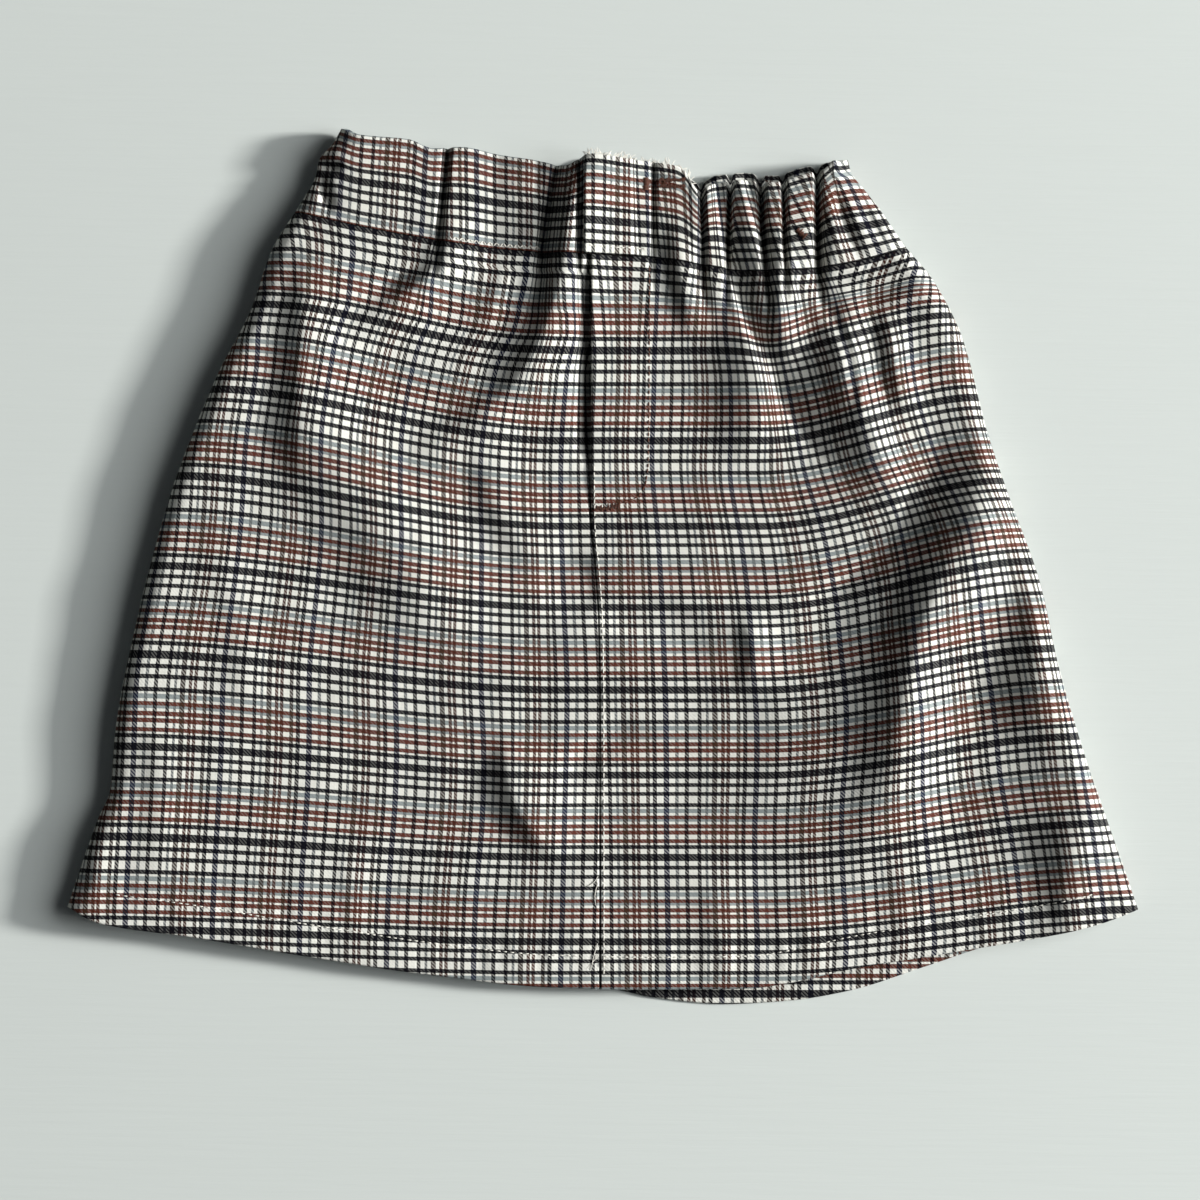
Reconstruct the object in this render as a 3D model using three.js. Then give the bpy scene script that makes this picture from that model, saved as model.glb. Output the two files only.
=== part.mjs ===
// A girl's A-line plaid skirt laid flat: a front in two panels with a mock fly, a one-piece
// back, and a gathered waistband of three lengths. Millimetres, +Z up. The back lies on the
// surface at Z 0, the front lies over it, and the waist points to +Y.
import * as THREE from 'three';

// Cloth and seams.
const CLOTH = 1.2; // one layer of brushed twill
const HEM_CLOTH = 2.2; // hem allowance turned up once and stitched
const BAND_CLOTH = 2.6; // waistband casing, folded double
const SEAM_GAP = 0.3; // the pieces stand this far apart where they are sewn
const HEM_TURN = 16; // height of the turned-up hem
const SIDE_ROLL = 9; // radius that the cloth turns round at each side seam

// The fly: the right panel's folded edge lies on the left panel.
const LAP = 20; // how far the left panel runs on under the right one
const FLY_END = 47; // Y where the open fly ends and the plain lapped seam starts
const FLY_FACING = 1.2; // extra layer that the folded edge has above the fly's end
const LAP_RISE = 1.6; // how far the fly's folded edge stands above the front's own surface
const LOW_LAP_RISE = 0.4; // the same below the fly's end, where the lap is sewn down
const LAP_EASE = 30; // distance over which that rise dies away to the right
const TAB_RISE = 3.0; // the same rise for the waistband's overlapping end
const STEP_OFF = 4; // width of the small step just left of the folded edge
const LOWEST_FRONT = 9.0; // the front never sinks nearer to the surface than this

// Grid of each piece: cells round a side roll, across and down.
const ROLL_CELLS = 4;
const LEFT_CELLS = 25;
const RIGHT_CELLS = 29;
const BACK_CELLS = 20;
const PANEL_ROWS = 34;
const BACK_ROWS = 14;
const BAND_ROWS = 5;
const GATHER_CELLS = 3; // between two neighbouring lines of the gathers
const LAP_CELLS = 5; // of the right waistband's cells, how many the left one repeats under it
const BACK_BAND_CELLS = 76;
const CURVE_SAMPLES = 24; // stations along a fold's spine

// The two sides of the skirt, waistband included: a row for each height on the surface.
const LEFT_SIDE = [
  { y: 196, x: -116 }, { y: 189, x: -120 }, { y: 182, x: -126 }, { y: 175, x: -127.5 },
  { y: 163, x: -134 }, { y: 142, x: -147 }, { y: 115, x: -156.5 }, { y: 89, x: -170 },
  { y: 62, x: -181.5 }, { y: 35, x: -191.5 }, { y: -18, x: -206 }, { y: -71, x: -216.5 },
  { y: -98, x: -219 }, { y: -111, x: -224.5 }, { y: -138, x: -234 }, { y: -150, x: -238 },
];
const RIGHT_SIDE = [
  { y: 182, x: 109 }, { y: 177, x: 110 }, { y: 169, x: 116 }, { y: 160, x: 123 },
  { y: 144, x: 134 }, { y: 128, x: 147 }, { y: 102, x: 160 }, { y: 62, x: 170.5 },
  { y: 35, x: 179.5 }, { y: -5, x: 194 }, { y: -45, x: 203 }, { y: -85, x: 215 },
  { y: -125, x: 229 }, { y: -151, x: 238 },
];

// The four edges that run across: a row for each place along the edge.
const BAND_TOP = [
  { x: -117, y: 196 }, { x: -108, y: 192.5 }, { x: -86, y: 190.5 }, { x: -75, y: 186.5 },
  { x: -63, y: 187 }, { x: -45, y: 183.6 }, { x: -28, y: 181 }, { x: -17, y: 179 },
  { x: -6, y: 183.5 }, { x: 8, y: 182 }, { x: 32, y: 179 }, { x: 43, y: 171.5 },
  { x: 51, y: 174.5 }, { x: 62, y: 175.5 }, { x: 75, y: 174.5 }, { x: 90, y: 178 },
  { x: 110, y: 182 },
];
const WAIST_SEAM = [
  { x: -135, y: 158 }, { x: -113, y: 153 }, { x: -90, y: 148.6 }, { x: -65, y: 144.4 },
  { x: -40, y: 141.4 }, { x: -8, y: 139.6 }, { x: 20, y: 138.4 }, { x: 43, y: 135 },
  { x: 65, y: 132.2 }, { x: 85, y: 132.6 }, { x: 103, y: 134.6 }, { x: 118, y: 137.8 },
  { x: 137, y: 143.4 },
];
const FRONT_HEM = [
  { x: -238, y: -149.5 }, { x: -223, y: -157 }, { x: -183, y: -163 }, { x: -130, y: -172 },
  { x: -77, y: -180 }, { x: -24, y: -185.5 }, { x: 20, y: -186.5 }, { x: 65, y: -186 },
  { x: 83, y: -183.5 }, { x: 110, y: -177.5 }, { x: 146, y: -171.5 }, { x: 199, y: -162.5 },
  { x: 220, y: -157.5 }, { x: 238, y: -151 },
];
const BACK_HEM = [
  { x: -238, y: -149.5 }, { x: -223, y: -156 }, { x: -183, y: -162 }, { x: -130, y: -171 },
  { x: -77, y: -179 }, { x: -24, y: -184.5 }, { x: 5, y: -187 }, { x: 22, y: -190.5 },
  { x: 54, y: -193.5 }, { x: 83, y: -192 }, { x: 110, y: -187.5 }, { x: 143, y: -177 },
  { x: 180, y: -165 }, { x: 220, y: -156.5 }, { x: 238, y: -151 },
];
// The lapped edge down the centre front.
const CENTRE = [
  { y: 184, x: -8.5 }, { y: 141, x: -8.5 }, { y: 138.5, x: -5.2 }, { y: 47, x: -5.3 },
  { y: -60, x: -3 }, { y: -200, x: -2 },
];

// How high the front stands over the surface: a row for each height, at both sides and between.
const RISES = [
  { y: 196, left: 17, middle: 14.5, right: 14 },
  { y: 150, left: 17.5, middle: 15, right: 15 },
  { y: 80, left: 18, middle: 13, right: 15 },
  { y: 0, left: 17, middle: 12, right: 14 },
  { y: -80, left: 15.5, middle: 10.5, right: 12 },
  { y: -150, left: 14, middle: 10, right: 10.5 },
  { y: -200, left: 13, middle: 9.5, right: 9.5 },
];

// The front's folds. Each runs down its path; rise is its height (negative for a hollow),
// left and right are the widths of its two slopes, and head is 1 where it starts at full height.
const FRONT_FOLDS = [
  { rise: 6, left: 8, right: 22, head: 0, path: [[-133, 152], [-131, 110], [-133, 65], [-124, 22]] },
  { rise: 7, left: 22, right: 28, head: 0, path: [[-130, 88], [-112, 44], [-84, 0], [-50, -48]] },
  { rise: 4, left: 6, right: 11, head: 0, path: [[-66, 160], [-70, 140], [-86, 122], [-118, 104]] },
  { rise: 8, left: 8, right: 16, head: 1, path: [[-5, 182], [-18, 130], [-34, 88], [-74, 60]] },
  { rise: 4, left: 10, right: 14, head: 0, path: [[-40, 80], [-62, 60], [-92, 46]] },
  { rise: 4, left: 9, right: 20, head: 0, path: [[-52, 62], [-45, 28], [-16, 0]] },
  { rise: 6, left: 7, right: 20, head: 0, path: [[-39, -68], [-40, -96], [-10, -130]] },
  { rise: -5, left: 10, right: 10, head: 0, path: [[-19, 10], [-14, -6], [-10, -24]] },
  { rise: -3, left: 7, right: 7, head: 0, path: [[-6, -18], [26, -27], [56, -36]] },
  { rise: 4, left: 5, right: 9, head: 0, path: [[32, 160], [36, 125], [42, 98]] },
  { rise: 7, left: 17, right: 10, head: 0, path: [[63, 134], [67, 98], [66, 64], [50, 46]] },
  { rise: 10, left: 14, right: 9, head: 0, path: [[107, 134], [109, 98], [117, 64], [137, 20]] },
  {
    rise: 12, left: 16, right: 18, head: 0,
    path: [[162, 96], [168, 36], [147, -12], [135, -60], [113, -146]],
  },
  { rise: 4, left: 8, right: 10, head: 0, path: [[172, 34], [169, 6], [158, -22]] },
  { rise: 7, left: 13, right: 14, head: 0, path: [[203, 8], [195, -30], [188, -84]] },
  { rise: 8, left: 30, right: 14, head: 0, path: [[208, -20], [213, -80], [224, -156]] },
  { rise: 5, left: 12, right: 12, head: 0, path: [[204, -100], [208, -135], [208, -176]] },
  { rise: 6, left: 48, right: 20, head: 0, path: [[126, -30], [118, -80], [112, -140]] },
  { rise: 4, left: 18, right: 9, head: 0, path: [[132, 154], [148, 122], [162, 84]] },
  { rise: 1.5, left: 7, right: 12, head: 0, path: [[50, -130], [50, -160], [52, -190]] },
];

// The waistband's gathers: a row for each crest or hollow, from its place on the top edge to its
// place on the waist seam. The left length is nearly flat, with one tuck and one pinched pleat.
const LEFT_GATHERS = [
  { top: -104, foot: -108, rise: 1 }, { top: -82, foot: -88, rise: 0 },
  { top: -71, foot: -74, rise: -4.5 }, { top: -65, foot: -66, rise: 2 },
  { top: -47, foot: -49, rise: -1 }, { top: -30, foot: -36, rise: 1 },
  { top: -17, foot: -28, rise: -4.5 }, { top: -11.5, foot: -19, rise: 1.5 },
  { top: -9.5, foot: -12, rise: 0 },
];
const RIGHT_GATHERS = [
  { top: -8.5, foot: -8.5, rise: -0.5 }, { top: 8, foot: 8, rise: 0 },
  { top: 19.5, foot: 19.5, rise: 0.6 }, { top: 22, foot: 22, rise: -2.6 },
  { top: 30, foot: 31, rise: 0.8 }, { top: 37, foot: 38, rise: 0.4 },
  { top: 43, foot: 44, rise: -3.2 }, { top: 49.5, foot: 49, rise: 2.4 },
  { top: 56.5, foot: 55, rise: -3.4 }, { top: 63, foot: 62, rise: 2.6 },
  { top: 69, foot: 71.5, rise: -4.5 }, { top: 74.5, foot: 76, rise: 2.2 },
  { top: 79.5, foot: 80.5, rise: -3.2 }, { top: 88, foot: 90, rise: 3 },
  { top: 96.5, foot: 98, rise: -3 }, { top: 101, foot: 105, rise: 2.4 },
];
const GATHER_FOOT = 0.4; // share of a gather's rise that is left at the waist seam

// The back's creases: slight lifts off the surface that run down from the gathered waist.
const BACK_CREASES = [
  { rise: 2.6, left: 9, right: 12, head: 1, path: [[-92, 146], [-110, 80], [-128, 20]] },
  { rise: 2.4, left: 10, right: 9, head: 1, path: [[-30, 139], [-42, 70], [-50, -10]] },
  { rise: 2.6, left: 10, right: 10, head: 1, path: [[66, 138], [84, 70], [96, 0]] },
  { rise: 2.2, left: 12, right: 14, head: 0, path: [[150, -20], [160, -70], [172, -120]] },
];
const BACK_GATHER = { count: 14, rise: 2.6, fade: 60 }; // elastic gathers across the back

const PLAID = { color: 0xb9b3aa, roughness: 0.92, metalness: 0 };

const clamp = (value) => Math.min(1, Math.max(0, value));
const mix = (a, b, t) => a + (b - a) * t;
const ease = (t) => clamp(t) ** 2 * (3 - 2 * clamp(t));

// Smooth curve through a table: cubic Hermite between rows, flat beyond its ends.
function table(rows, along, value) {
  const sorted = [...rows].sort((a, b) => a[along] - b[along]);
  const last = sorted.length - 1;
  const chord = (i) => (sorted[i + 1][value] - sorted[i][value])
    / (sorted[i + 1][along] - sorted[i][along]);
  const slope = (i) => {
    if (i === 0) return chord(0);
    if (i === last) return chord(last - 1);
    const turns = chord(i - 1) * chord(i) <= 0;
    return turns ? 0 : (2 * chord(i - 1) * chord(i)) / (chord(i - 1) + chord(i));
  };
  return (at) => {
    if (at <= sorted[0][along]) return sorted[0][value];
    if (at >= sorted[last][along]) return sorted[last][value];
    const i = sorted.findIndex((row) => row[along] > at) - 1;
    const span = sorted[i + 1][along] - sorted[i][along];
    const t = (at - sorted[i][along]) / span;
    const rise = sorted[i + 1][value] - sorted[i][value];
    const a = slope(i) * span - rise;
    const b = rise - slope(i + 1) * span;
    return sorted[i][value] + t * rise + t * (1 - t) * (a * (1 - t) + b * t);
  };
}

const leftSide = table(LEFT_SIDE, 'y', 'x');
const rightSide = table(RIGHT_SIDE, 'y', 'x');
const centre = table(CENTRE, 'y', 'x');
const bandTop = table(BAND_TOP, 'x', 'y');
const waistSeam = table(WAIST_SEAM, 'x', 'y');
const frontHem = table(FRONT_HEM, 'x', 'y');
const backHem = table(BACK_HEM, 'x', 'y');
const riseLeft = table(RISES, 'y', 'left');
const riseMiddle = table(RISES, 'y', 'middle');
const riseRight = table(RISES, 'y', 'right');

// Height that one fold adds: a bell across its spine, faded in and out along it.
function foldShape({ rise, left, right, head, path }) {
  const spine = new THREE.CatmullRomCurve3(path.map(([x, y]) => new THREE.Vector3(x, y, 0)));
  const stations = spine.getSpacedPoints(CURVE_SAMPLES);
  const tangents = stations.map((_, i) => spine.getTangentAt(i / CURVE_SAMPLES));
  const length = spine.getLength();
  return (x, y) => {
    let nearest = 0;
    let best = Infinity;
    stations.forEach((station, i) => {
      const distance = (x - station.x) ** 2 + (y - station.y) ** 2;
      if (distance < best) {
        best = distance;
        nearest = i;
      }
    });
    const dx = x - stations[nearest].x;
    const dy = y - stations[nearest].y;
    const { x: tx, y: ty } = tangents[nearest];
    const t = nearest / CURVE_SAMPLES + (dx * tx + dy * ty) / length;
    const across = dy * tx - dx * ty; // positive on the right of a spine that runs down
    const width = across < 0 ? left : right;
    const start = mix(ease(t / 0.35), 1, head);
    const end = ease((1 - t) / 0.4);
    const beyond = head && t < 0 ? 0 : dx * tx + dy * ty;
    const past = t < 0 || t > 1 ? beyond : 0;
    return rise * start * end * Math.exp(-((across / width) ** 2) - (past / width) ** 2);
  };
}

const frontFolds = FRONT_FOLDS.map(foldShape);
const backCreases = BACK_CREASES.map(foldShape);
const sum = (shapes, x, y) => shapes.reduce((total, shape) => total + shape(x, y), 0);

// Where the gathers' lines stand on row v of the band, and the height they add there: from each
// line to the next a quarter wave, level on the crest and steep in the hollow.
const ALL_GATHERS = [
  { top: -117, foot: -126, rise: 0 }, ...LEFT_GATHERS, ...RIGHT_GATHERS,
  { top: 104, foot: 122, rise: 0 },
];
const gatherX = (line, v) => mix(line.top, line.foot, v);
function gatherHeight(x, y) {
  const v = (bandTop(x) - y) / (bandTop(x) - waistSeam(x));
  if (v > 1.05) return 0;
  const next = ALL_GATHERS.findIndex((line) => gatherX(line, v) > x);
  if (next < 1) return 0;
  const [before, after] = [ALL_GATHERS[next - 1], ALL_GATHERS[next]];
  const t = (x - gatherX(before, v)) / (gatherX(after, v) - gatherX(before, v));
  const quarter = (clamp(t) * Math.PI) / 2;
  const climb = after.rise > before.rise ? Math.sin(quarter) : 1 - Math.cos(quarter);
  return mix(before.rise, after.rise, climb) * mix(1, GATHER_FOOT, clamp(v));
}

// Height of the front's outer face over the surface, away from the side rolls.
function frontHeight(x, y) {
  const across = clamp((x - leftSide(y)) / (rightSide(y) - leftSide(y)));
  const side = across < 0.5 ? riseLeft(y) : riseRight(y);
  const base = mix(riseMiddle(y), side, ease(Math.abs(across - 0.5) * 2) ** 2);
  return Math.max(LOWEST_FRONT, base + sum(frontFolds, x, y) + gatherHeight(x, y));
}
const seamHeight = (x, y) => (x < 0 ? riseLeft(y) : riseRight(y)) / 2;

// Lift of the back's underside: creases of the panel and the elastic's even gathers.
function backLift(x, y) {
  const down = waistSeam(x) - y;
  const fade = ease(1 - down / BACK_GATHER.fade);
  const phase = ((x - leftSide(y)) / (rightSide(y) - leftSide(y))) * BACK_GATHER.count;
  const wave = 0.5 - 0.5 * Math.cos(2 * Math.PI * phase);
  return Math.min(BACK_GATHER.rise, Math.max(BACK_GATHER.rise * fade * wave, sum(backCreases, x, y)));
}

// A place in a piece's own map: fraction v down between two edges, x given.
const between = (upper, lower, x, v) => mix(upper(x), lower(x), v);

// Where row v of a piece meets one side: y follows the row and x follows the side.
function sidePoint(side, upper, lower, v) {
  let x = side(upper(0));
  for (let pass = 0; pass < 8; pass += 1) x = side(between(upper, lower, x, v));
  return x;
}

// Columns of a piece: where each one stands on row v, and how far round the side roll it is.
function rollColumn(step, edge, inward, wall) {
  const angle = (step / ROLL_CELLS) * (Math.PI / 2);
  const outer = edge + inward * SIDE_ROLL * (1 - Math.cos(angle));
  const inner = edge + inward * (wall + (SIDE_ROLL - wall) * (1 - Math.cos(angle)));
  return { x: outer, shift: inner - outer, turn: Math.sin(angle) };
}
const flatColumn = (x) => ({ x, shift: 0, turn: 1 });

// Closed wall over a grid of (column, row): outer face, inner face and the four rims.
function wall(name, columns, rows, place) {
  const wide = columns + 1;
  const layer = wide * (rows + 1);
  const positions = [];
  for (const depth of [0, 1]) {
    for (let row = 0; row <= rows; row += 1) {
      for (let column = 0; column <= columns; column += 1) positions.push(...place(column, row, depth));
    }
  }
  const index = [];
  const quad = (a, b, c, d) => index.push(a, b, c, a, c, d);
  const at = (column, row, depth) => depth * layer + row * wide + column;
  for (let row = 0; row < rows; row += 1) {
    for (let column = 0; column < columns; column += 1) {
      quad(at(column, row, 0), at(column, row + 1, 0), at(column + 1, row + 1, 0), at(column + 1, row, 0));
      quad(at(column, row, 1), at(column + 1, row, 1), at(column + 1, row + 1, 1), at(column, row + 1, 1));
    }
  }
  for (let column = 0; column < columns; column += 1) {
    quad(at(column, 0, 0), at(column + 1, 0, 0), at(column + 1, 0, 1), at(column, 0, 1));
    quad(at(column, rows, 0), at(column, rows, 1), at(column + 1, rows, 1), at(column + 1, rows, 0));
  }
  for (let row = 0; row < rows; row += 1) {
    quad(at(0, row, 0), at(0, row, 1), at(0, row + 1, 1), at(0, row + 1, 0));
    quad(at(columns, row, 0), at(columns, row + 1, 0), at(columns, row + 1, 1), at(columns, row, 1));
  }
  const geometry = new THREE.BufferGeometry();
  geometry.setAttribute('position', new THREE.Float32BufferAttribute(positions, 3));
  geometry.setIndex(index);
  geometry.computeVertexNormals();
  const mesh = new THREE.Mesh(geometry, new THREE.MeshStandardMaterial(PLAID));
  mesh.name = name;
  return mesh;
}

// A front piece: its outer face follows frontHeight plus lift, its inner face lies a wall under it.
function frontPiece(name, { cells, rows, upper, lower, rowAt, columnAt, lift, thickness }) {
  return wall(name, cells, rows, (cell, row, depth) => {
    const v = rowAt(row);
    const { x, shift, turn } = columnAt(cell, v);
    const y = between(upper, lower, x, v);
    const top = frontHeight(x, y) + lift(x, y);
    const seam = seamHeight(x, y) + SEAM_GAP / 2;
    const under = thickness(x, y, v) * depth;
    return [x + shift * depth, y, seam + (top - under - seam) * turn];
  });
}

// A back piece: its outer face is the underside, its inner face lies a wall over it.
function backPiece(name, { cells, rows, upper, lower, rowAt, columnAt, thickness }) {
  return wall(name, cells, rows, (cell, row, depth) => {
    const v = rowAt(row);
    const { x, shift, turn } = columnAt(cell, v);
    const y = between(upper, lower, x, v);
    const seam = seamHeight(x, y) - SEAM_GAP / 2;
    const level = backLift(x, y) * ease(turn * 2 - 1) + thickness(x, y, v) * (1 - depth);
    return [x + shift * (1 - depth), y, seam + (level - seam) * turn];
  });
}

// Rows down a panel: even cells, and the last one is the turned-up hem.
const hemShare = HEM_TURN / (waistSeam(0) - frontHem(0));
const panelRow = (rows) => (row) => (row === rows ? 1 : (row / (rows - 1)) * (1 - hemShare));
const hemWall = (x, y, v) => (v > 1 - hemShare / 2 ? HEM_CLOTH : CLOTH);

// Seam lines pulled half a gap apart, so that band and panel don't touch.
const panelTop = (x) => waistSeam(x) - SEAM_GAP / 2;
const bandFoot = (x) => waistSeam(x) + SEAM_GAP / 2;

// The lap: extra layer, rise of the upper piece and where the lower piece then lies.
const facing = (x, y) => FLY_FACING * ease((y - FLY_END) / STEP_OFF + 1)
  * ease((centre(y) + LAP + STEP_OFF - x) / STEP_OFF);
const foldRise = (y) => mix(LOW_LAP_RISE, LAP_RISE, ease((y - FLY_END) / LAP_EASE + 1));
const lapRise = (x, y) => foldRise(y) * ease(1 - (x - centre(y)) / LAP_EASE);
const tabRise = (x, y) => TAB_RISE * ease(1 - (x - centre(y) - LAP) / STEP_OFF);
const stepDown = (x, y) => ease(1 + (x - centre(y)) / STEP_OFF);

function frontLeft() {
  const plain = LEFT_CELLS - ROLL_CELLS - 3;
  const laps = [-STEP_OFF, 0, LAP / 2, LAP];
  return frontPiece('skirt_front_left', {
    cells: LEFT_CELLS,
    rows: PANEL_ROWS,
    upper: panelTop,
    lower: frontHem,
    rowAt: panelRow(PANEL_ROWS),
    columnAt: (cell, v) => {
      const edge = sidePoint(leftSide, panelTop, frontHem, v);
      if (cell <= ROLL_CELLS) return rollColumn(cell, edge, 1, CLOTH);
      const fly = centre(between(panelTop, frontHem, 0, v));
      const share = (cell - ROLL_CELLS) / plain;
      if (share <= 1) return flatColumn(mix(edge + SIDE_ROLL, fly - STEP_OFF, share));
      return flatColumn(fly + laps[cell - ROLL_CELLS - plain]);
    },
    lift: (x, y) => stepDown(x, y) * (lapRise(x, y) - CLOTH - facing(x, y) - SEAM_GAP),
    thickness: (x, y, v) => (x > centre(y) - STEP_OFF ? CLOTH : hemWall(x, y, v)),
  });
}

function frontRight() {
  const plain = RIGHT_CELLS - ROLL_CELLS - 2;
  return frontPiece('skirt_front_right', {
    cells: RIGHT_CELLS,
    rows: PANEL_ROWS,
    upper: panelTop,
    lower: frontHem,
    rowAt: panelRow(PANEL_ROWS),
    columnAt: (cell, v) => {
      const fly = centre(between(panelTop, frontHem, 0, v));
      if (cell <= 2) return flatColumn(fly + (cell * LAP) / 2);
      const edge = sidePoint(rightSide, panelTop, frontHem, v);
      const share = (cell - 2) / plain;
      if (share <= 1) return flatColumn(mix(fly + LAP, edge - SIDE_ROLL, share));
      return rollColumn(RIGHT_CELLS - cell, edge, -1, CLOTH);
    },
    lift: lapRise,
    thickness: (x, y, v) => (x < centre(y) + LAP + 1 ? CLOTH + facing(x, y) : hemWall(x, y, v)),
  });
}

function back() {
  return backPiece('skirt_back', {
    cells: BACK_CELLS + 2 * ROLL_CELLS,
    rows: BACK_ROWS,
    upper: panelTop,
    lower: backHem,
    rowAt: panelRow(BACK_ROWS),
    columnAt: bothSides(BACK_CELLS, panelTop, backHem, CLOTH),
    thickness: hemWall,
  });
}

// Columns of a piece that runs from side to side, with a roll at each end.
function bothSides(cells, upper, lower, thick) {
  return (cell, v) => {
    const left = sidePoint(leftSide, upper, lower, v);
    const right = sidePoint(rightSide, upper, lower, v);
    if (cell <= ROLL_CELLS) return rollColumn(cell, left, 1, thick);
    const share = (cell - ROLL_CELLS) / cells;
    if (share >= 1) return rollColumn(cells + 2 * ROLL_CELLS - cell, right, -1, thick);
    return flatColumn(mix(left + SIDE_ROLL, right - SIDE_ROLL, share));
  };
}

const evenRow = (row) => row / BAND_ROWS;
const bandWall = () => BAND_CLOTH;

// Column of a waistband that follows the gathers' lines.
function gatherColumn(lines, step, v) {
  const place = step / GATHER_CELLS;
  const line = Math.min(Math.floor(place), lines.length - 2);
  return flatColumn(mix(gatherX(lines[line], v), gatherX(lines[line + 1], v), place - line));
}

function bandLeft() {
  const lines = (LEFT_GATHERS.length - 1) * GATHER_CELLS;
  const firstLine = ROLL_CELLS + GATHER_CELLS;
  return frontPiece('waistband_front_left', {
    cells: firstLine + lines + 1 + LAP_CELLS,
    rows: BAND_ROWS,
    upper: bandTop,
    lower: bandFoot,
    rowAt: evenRow,
    columnAt: (cell, v) => {
      const edge = sidePoint(leftSide, bandTop, bandFoot, v);
      if (cell <= ROLL_CELLS) return rollColumn(cell, edge, 1, BAND_CLOTH);
      const step = cell - firstLine;
      const share = (cell - ROLL_CELLS) / GATHER_CELLS;
      if (step < 0) return flatColumn(mix(edge + SIDE_ROLL, gatherX(LEFT_GATHERS[0], v), share));
      if (step <= lines) return gatherColumn(LEFT_GATHERS, step, v);
      return gatherColumn(RIGHT_GATHERS, step - lines - 1, v);
    },
    lift: (x, y) => stepDown(x, y) * (tabRise(x, y) - BAND_CLOTH - SEAM_GAP),
    thickness: bandWall,
  });
}

function bandRight() {
  const lines = (RIGHT_GATHERS.length - 1) * GATHER_CELLS;
  const cells = lines + GATHER_CELLS + ROLL_CELLS;
  return frontPiece('waistband_front_right', {
    cells,
    rows: BAND_ROWS,
    upper: bandTop,
    lower: bandFoot,
    rowAt: evenRow,
    columnAt: (cell, v) => {
      if (cell <= lines) return gatherColumn(RIGHT_GATHERS, cell, v);
      const edge = sidePoint(rightSide, bandTop, bandFoot, v);
      const last = gatherX(RIGHT_GATHERS[RIGHT_GATHERS.length - 1], v);
      const share = (cell - lines) / GATHER_CELLS;
      if (share <= 1) return flatColumn(mix(last, edge - SIDE_ROLL, share));
      return rollColumn(cells - cell, edge, -1, BAND_CLOTH);
    },
    lift: tabRise,
    thickness: bandWall,
  });
}

function bandBack() {
  return backPiece('waistband_back', {
    cells: BACK_BAND_CELLS + 2 * ROLL_CELLS,
    rows: BAND_ROWS,
    upper: bandTop,
    lower: bandFoot,
    rowAt: evenRow,
    columnAt: bothSides(BACK_BAND_CELLS, bandTop, bandFoot, BAND_CLOTH),
    thickness: bandWall,
  });
}

const skirt = new THREE.Group();
skirt.add(frontLeft(), frontRight(), back(), bandLeft(), bandRight(), bandBack());

export default skirt;
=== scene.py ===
# %% [markdown]
# # A plaid skirt, laid flat
#
# A girl's A-line skirt of brushed plaid twill lies on its back on a painted table. The packed
# CAD model gives its six pieces as plain walls: two front panels that lap at a mock fly, one
# back panel, and three lengths of gathered waistband. This lesson dresses them. Each piece is
# worked out again from the same sizes on a finer grid, with the small creases that a coarse
# wall can't hold, and the plaid is printed on cloth coordinates, so that it bends with every
# fold. Sewing is added last, stitch by stitch.

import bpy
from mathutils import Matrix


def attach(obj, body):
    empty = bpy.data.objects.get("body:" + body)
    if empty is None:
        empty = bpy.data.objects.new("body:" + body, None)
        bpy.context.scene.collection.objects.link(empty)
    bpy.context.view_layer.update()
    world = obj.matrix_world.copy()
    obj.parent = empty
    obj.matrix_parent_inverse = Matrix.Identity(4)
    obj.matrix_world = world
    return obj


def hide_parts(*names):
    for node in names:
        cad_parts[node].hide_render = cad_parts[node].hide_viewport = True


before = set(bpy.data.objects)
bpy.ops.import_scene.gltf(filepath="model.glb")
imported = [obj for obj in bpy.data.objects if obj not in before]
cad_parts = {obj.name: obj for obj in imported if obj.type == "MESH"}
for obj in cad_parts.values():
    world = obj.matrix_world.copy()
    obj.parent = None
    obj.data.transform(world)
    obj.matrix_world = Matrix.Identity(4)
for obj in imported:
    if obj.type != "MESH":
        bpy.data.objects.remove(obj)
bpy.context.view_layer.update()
print("nodes:", ", ".join(sorted(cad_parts)))

# %% [markdown]
# ## Units and small helpers
#
# A pattern cutter works in millimetres, so every table and formula below is in millimetres,
# and one function turns them into metres when a mesh is made. `rows` makes a table with named
# columns, and `curve` draws a smooth line through two of its columns. It is the same curve as
# the CAD model's, a cubic that never swings past its rows, so both models share one outline.

# %% Helpers for tables and smooth steps
from collections import namedtuple

import bpy
import numpy as np

MM = 0.001  # one millimetre in metres
rng = np.random.default_rng(7)


def rows(names, *lines):
    """Table with named columns: a dict from each name to the array of that column."""
    return dict(zip(names.split(), np.array(lines, float).T))


def mix(a, b, t):
    """a at t 0, b at t 1, a straight line between."""
    return a + (b - a) * t


def ease(t):
    """Smooth step: 0 up to t 0, 1 from t 1, and t squared times (3 - 2t) between."""
    t = np.clip(t, 0, 1)
    return t * t * (3 - 2 * t)


def bell(t):
    """Gaussian bell: 1 at t 0, and e to the minus t squared away from it."""
    return np.exp(-(t**2))


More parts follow.
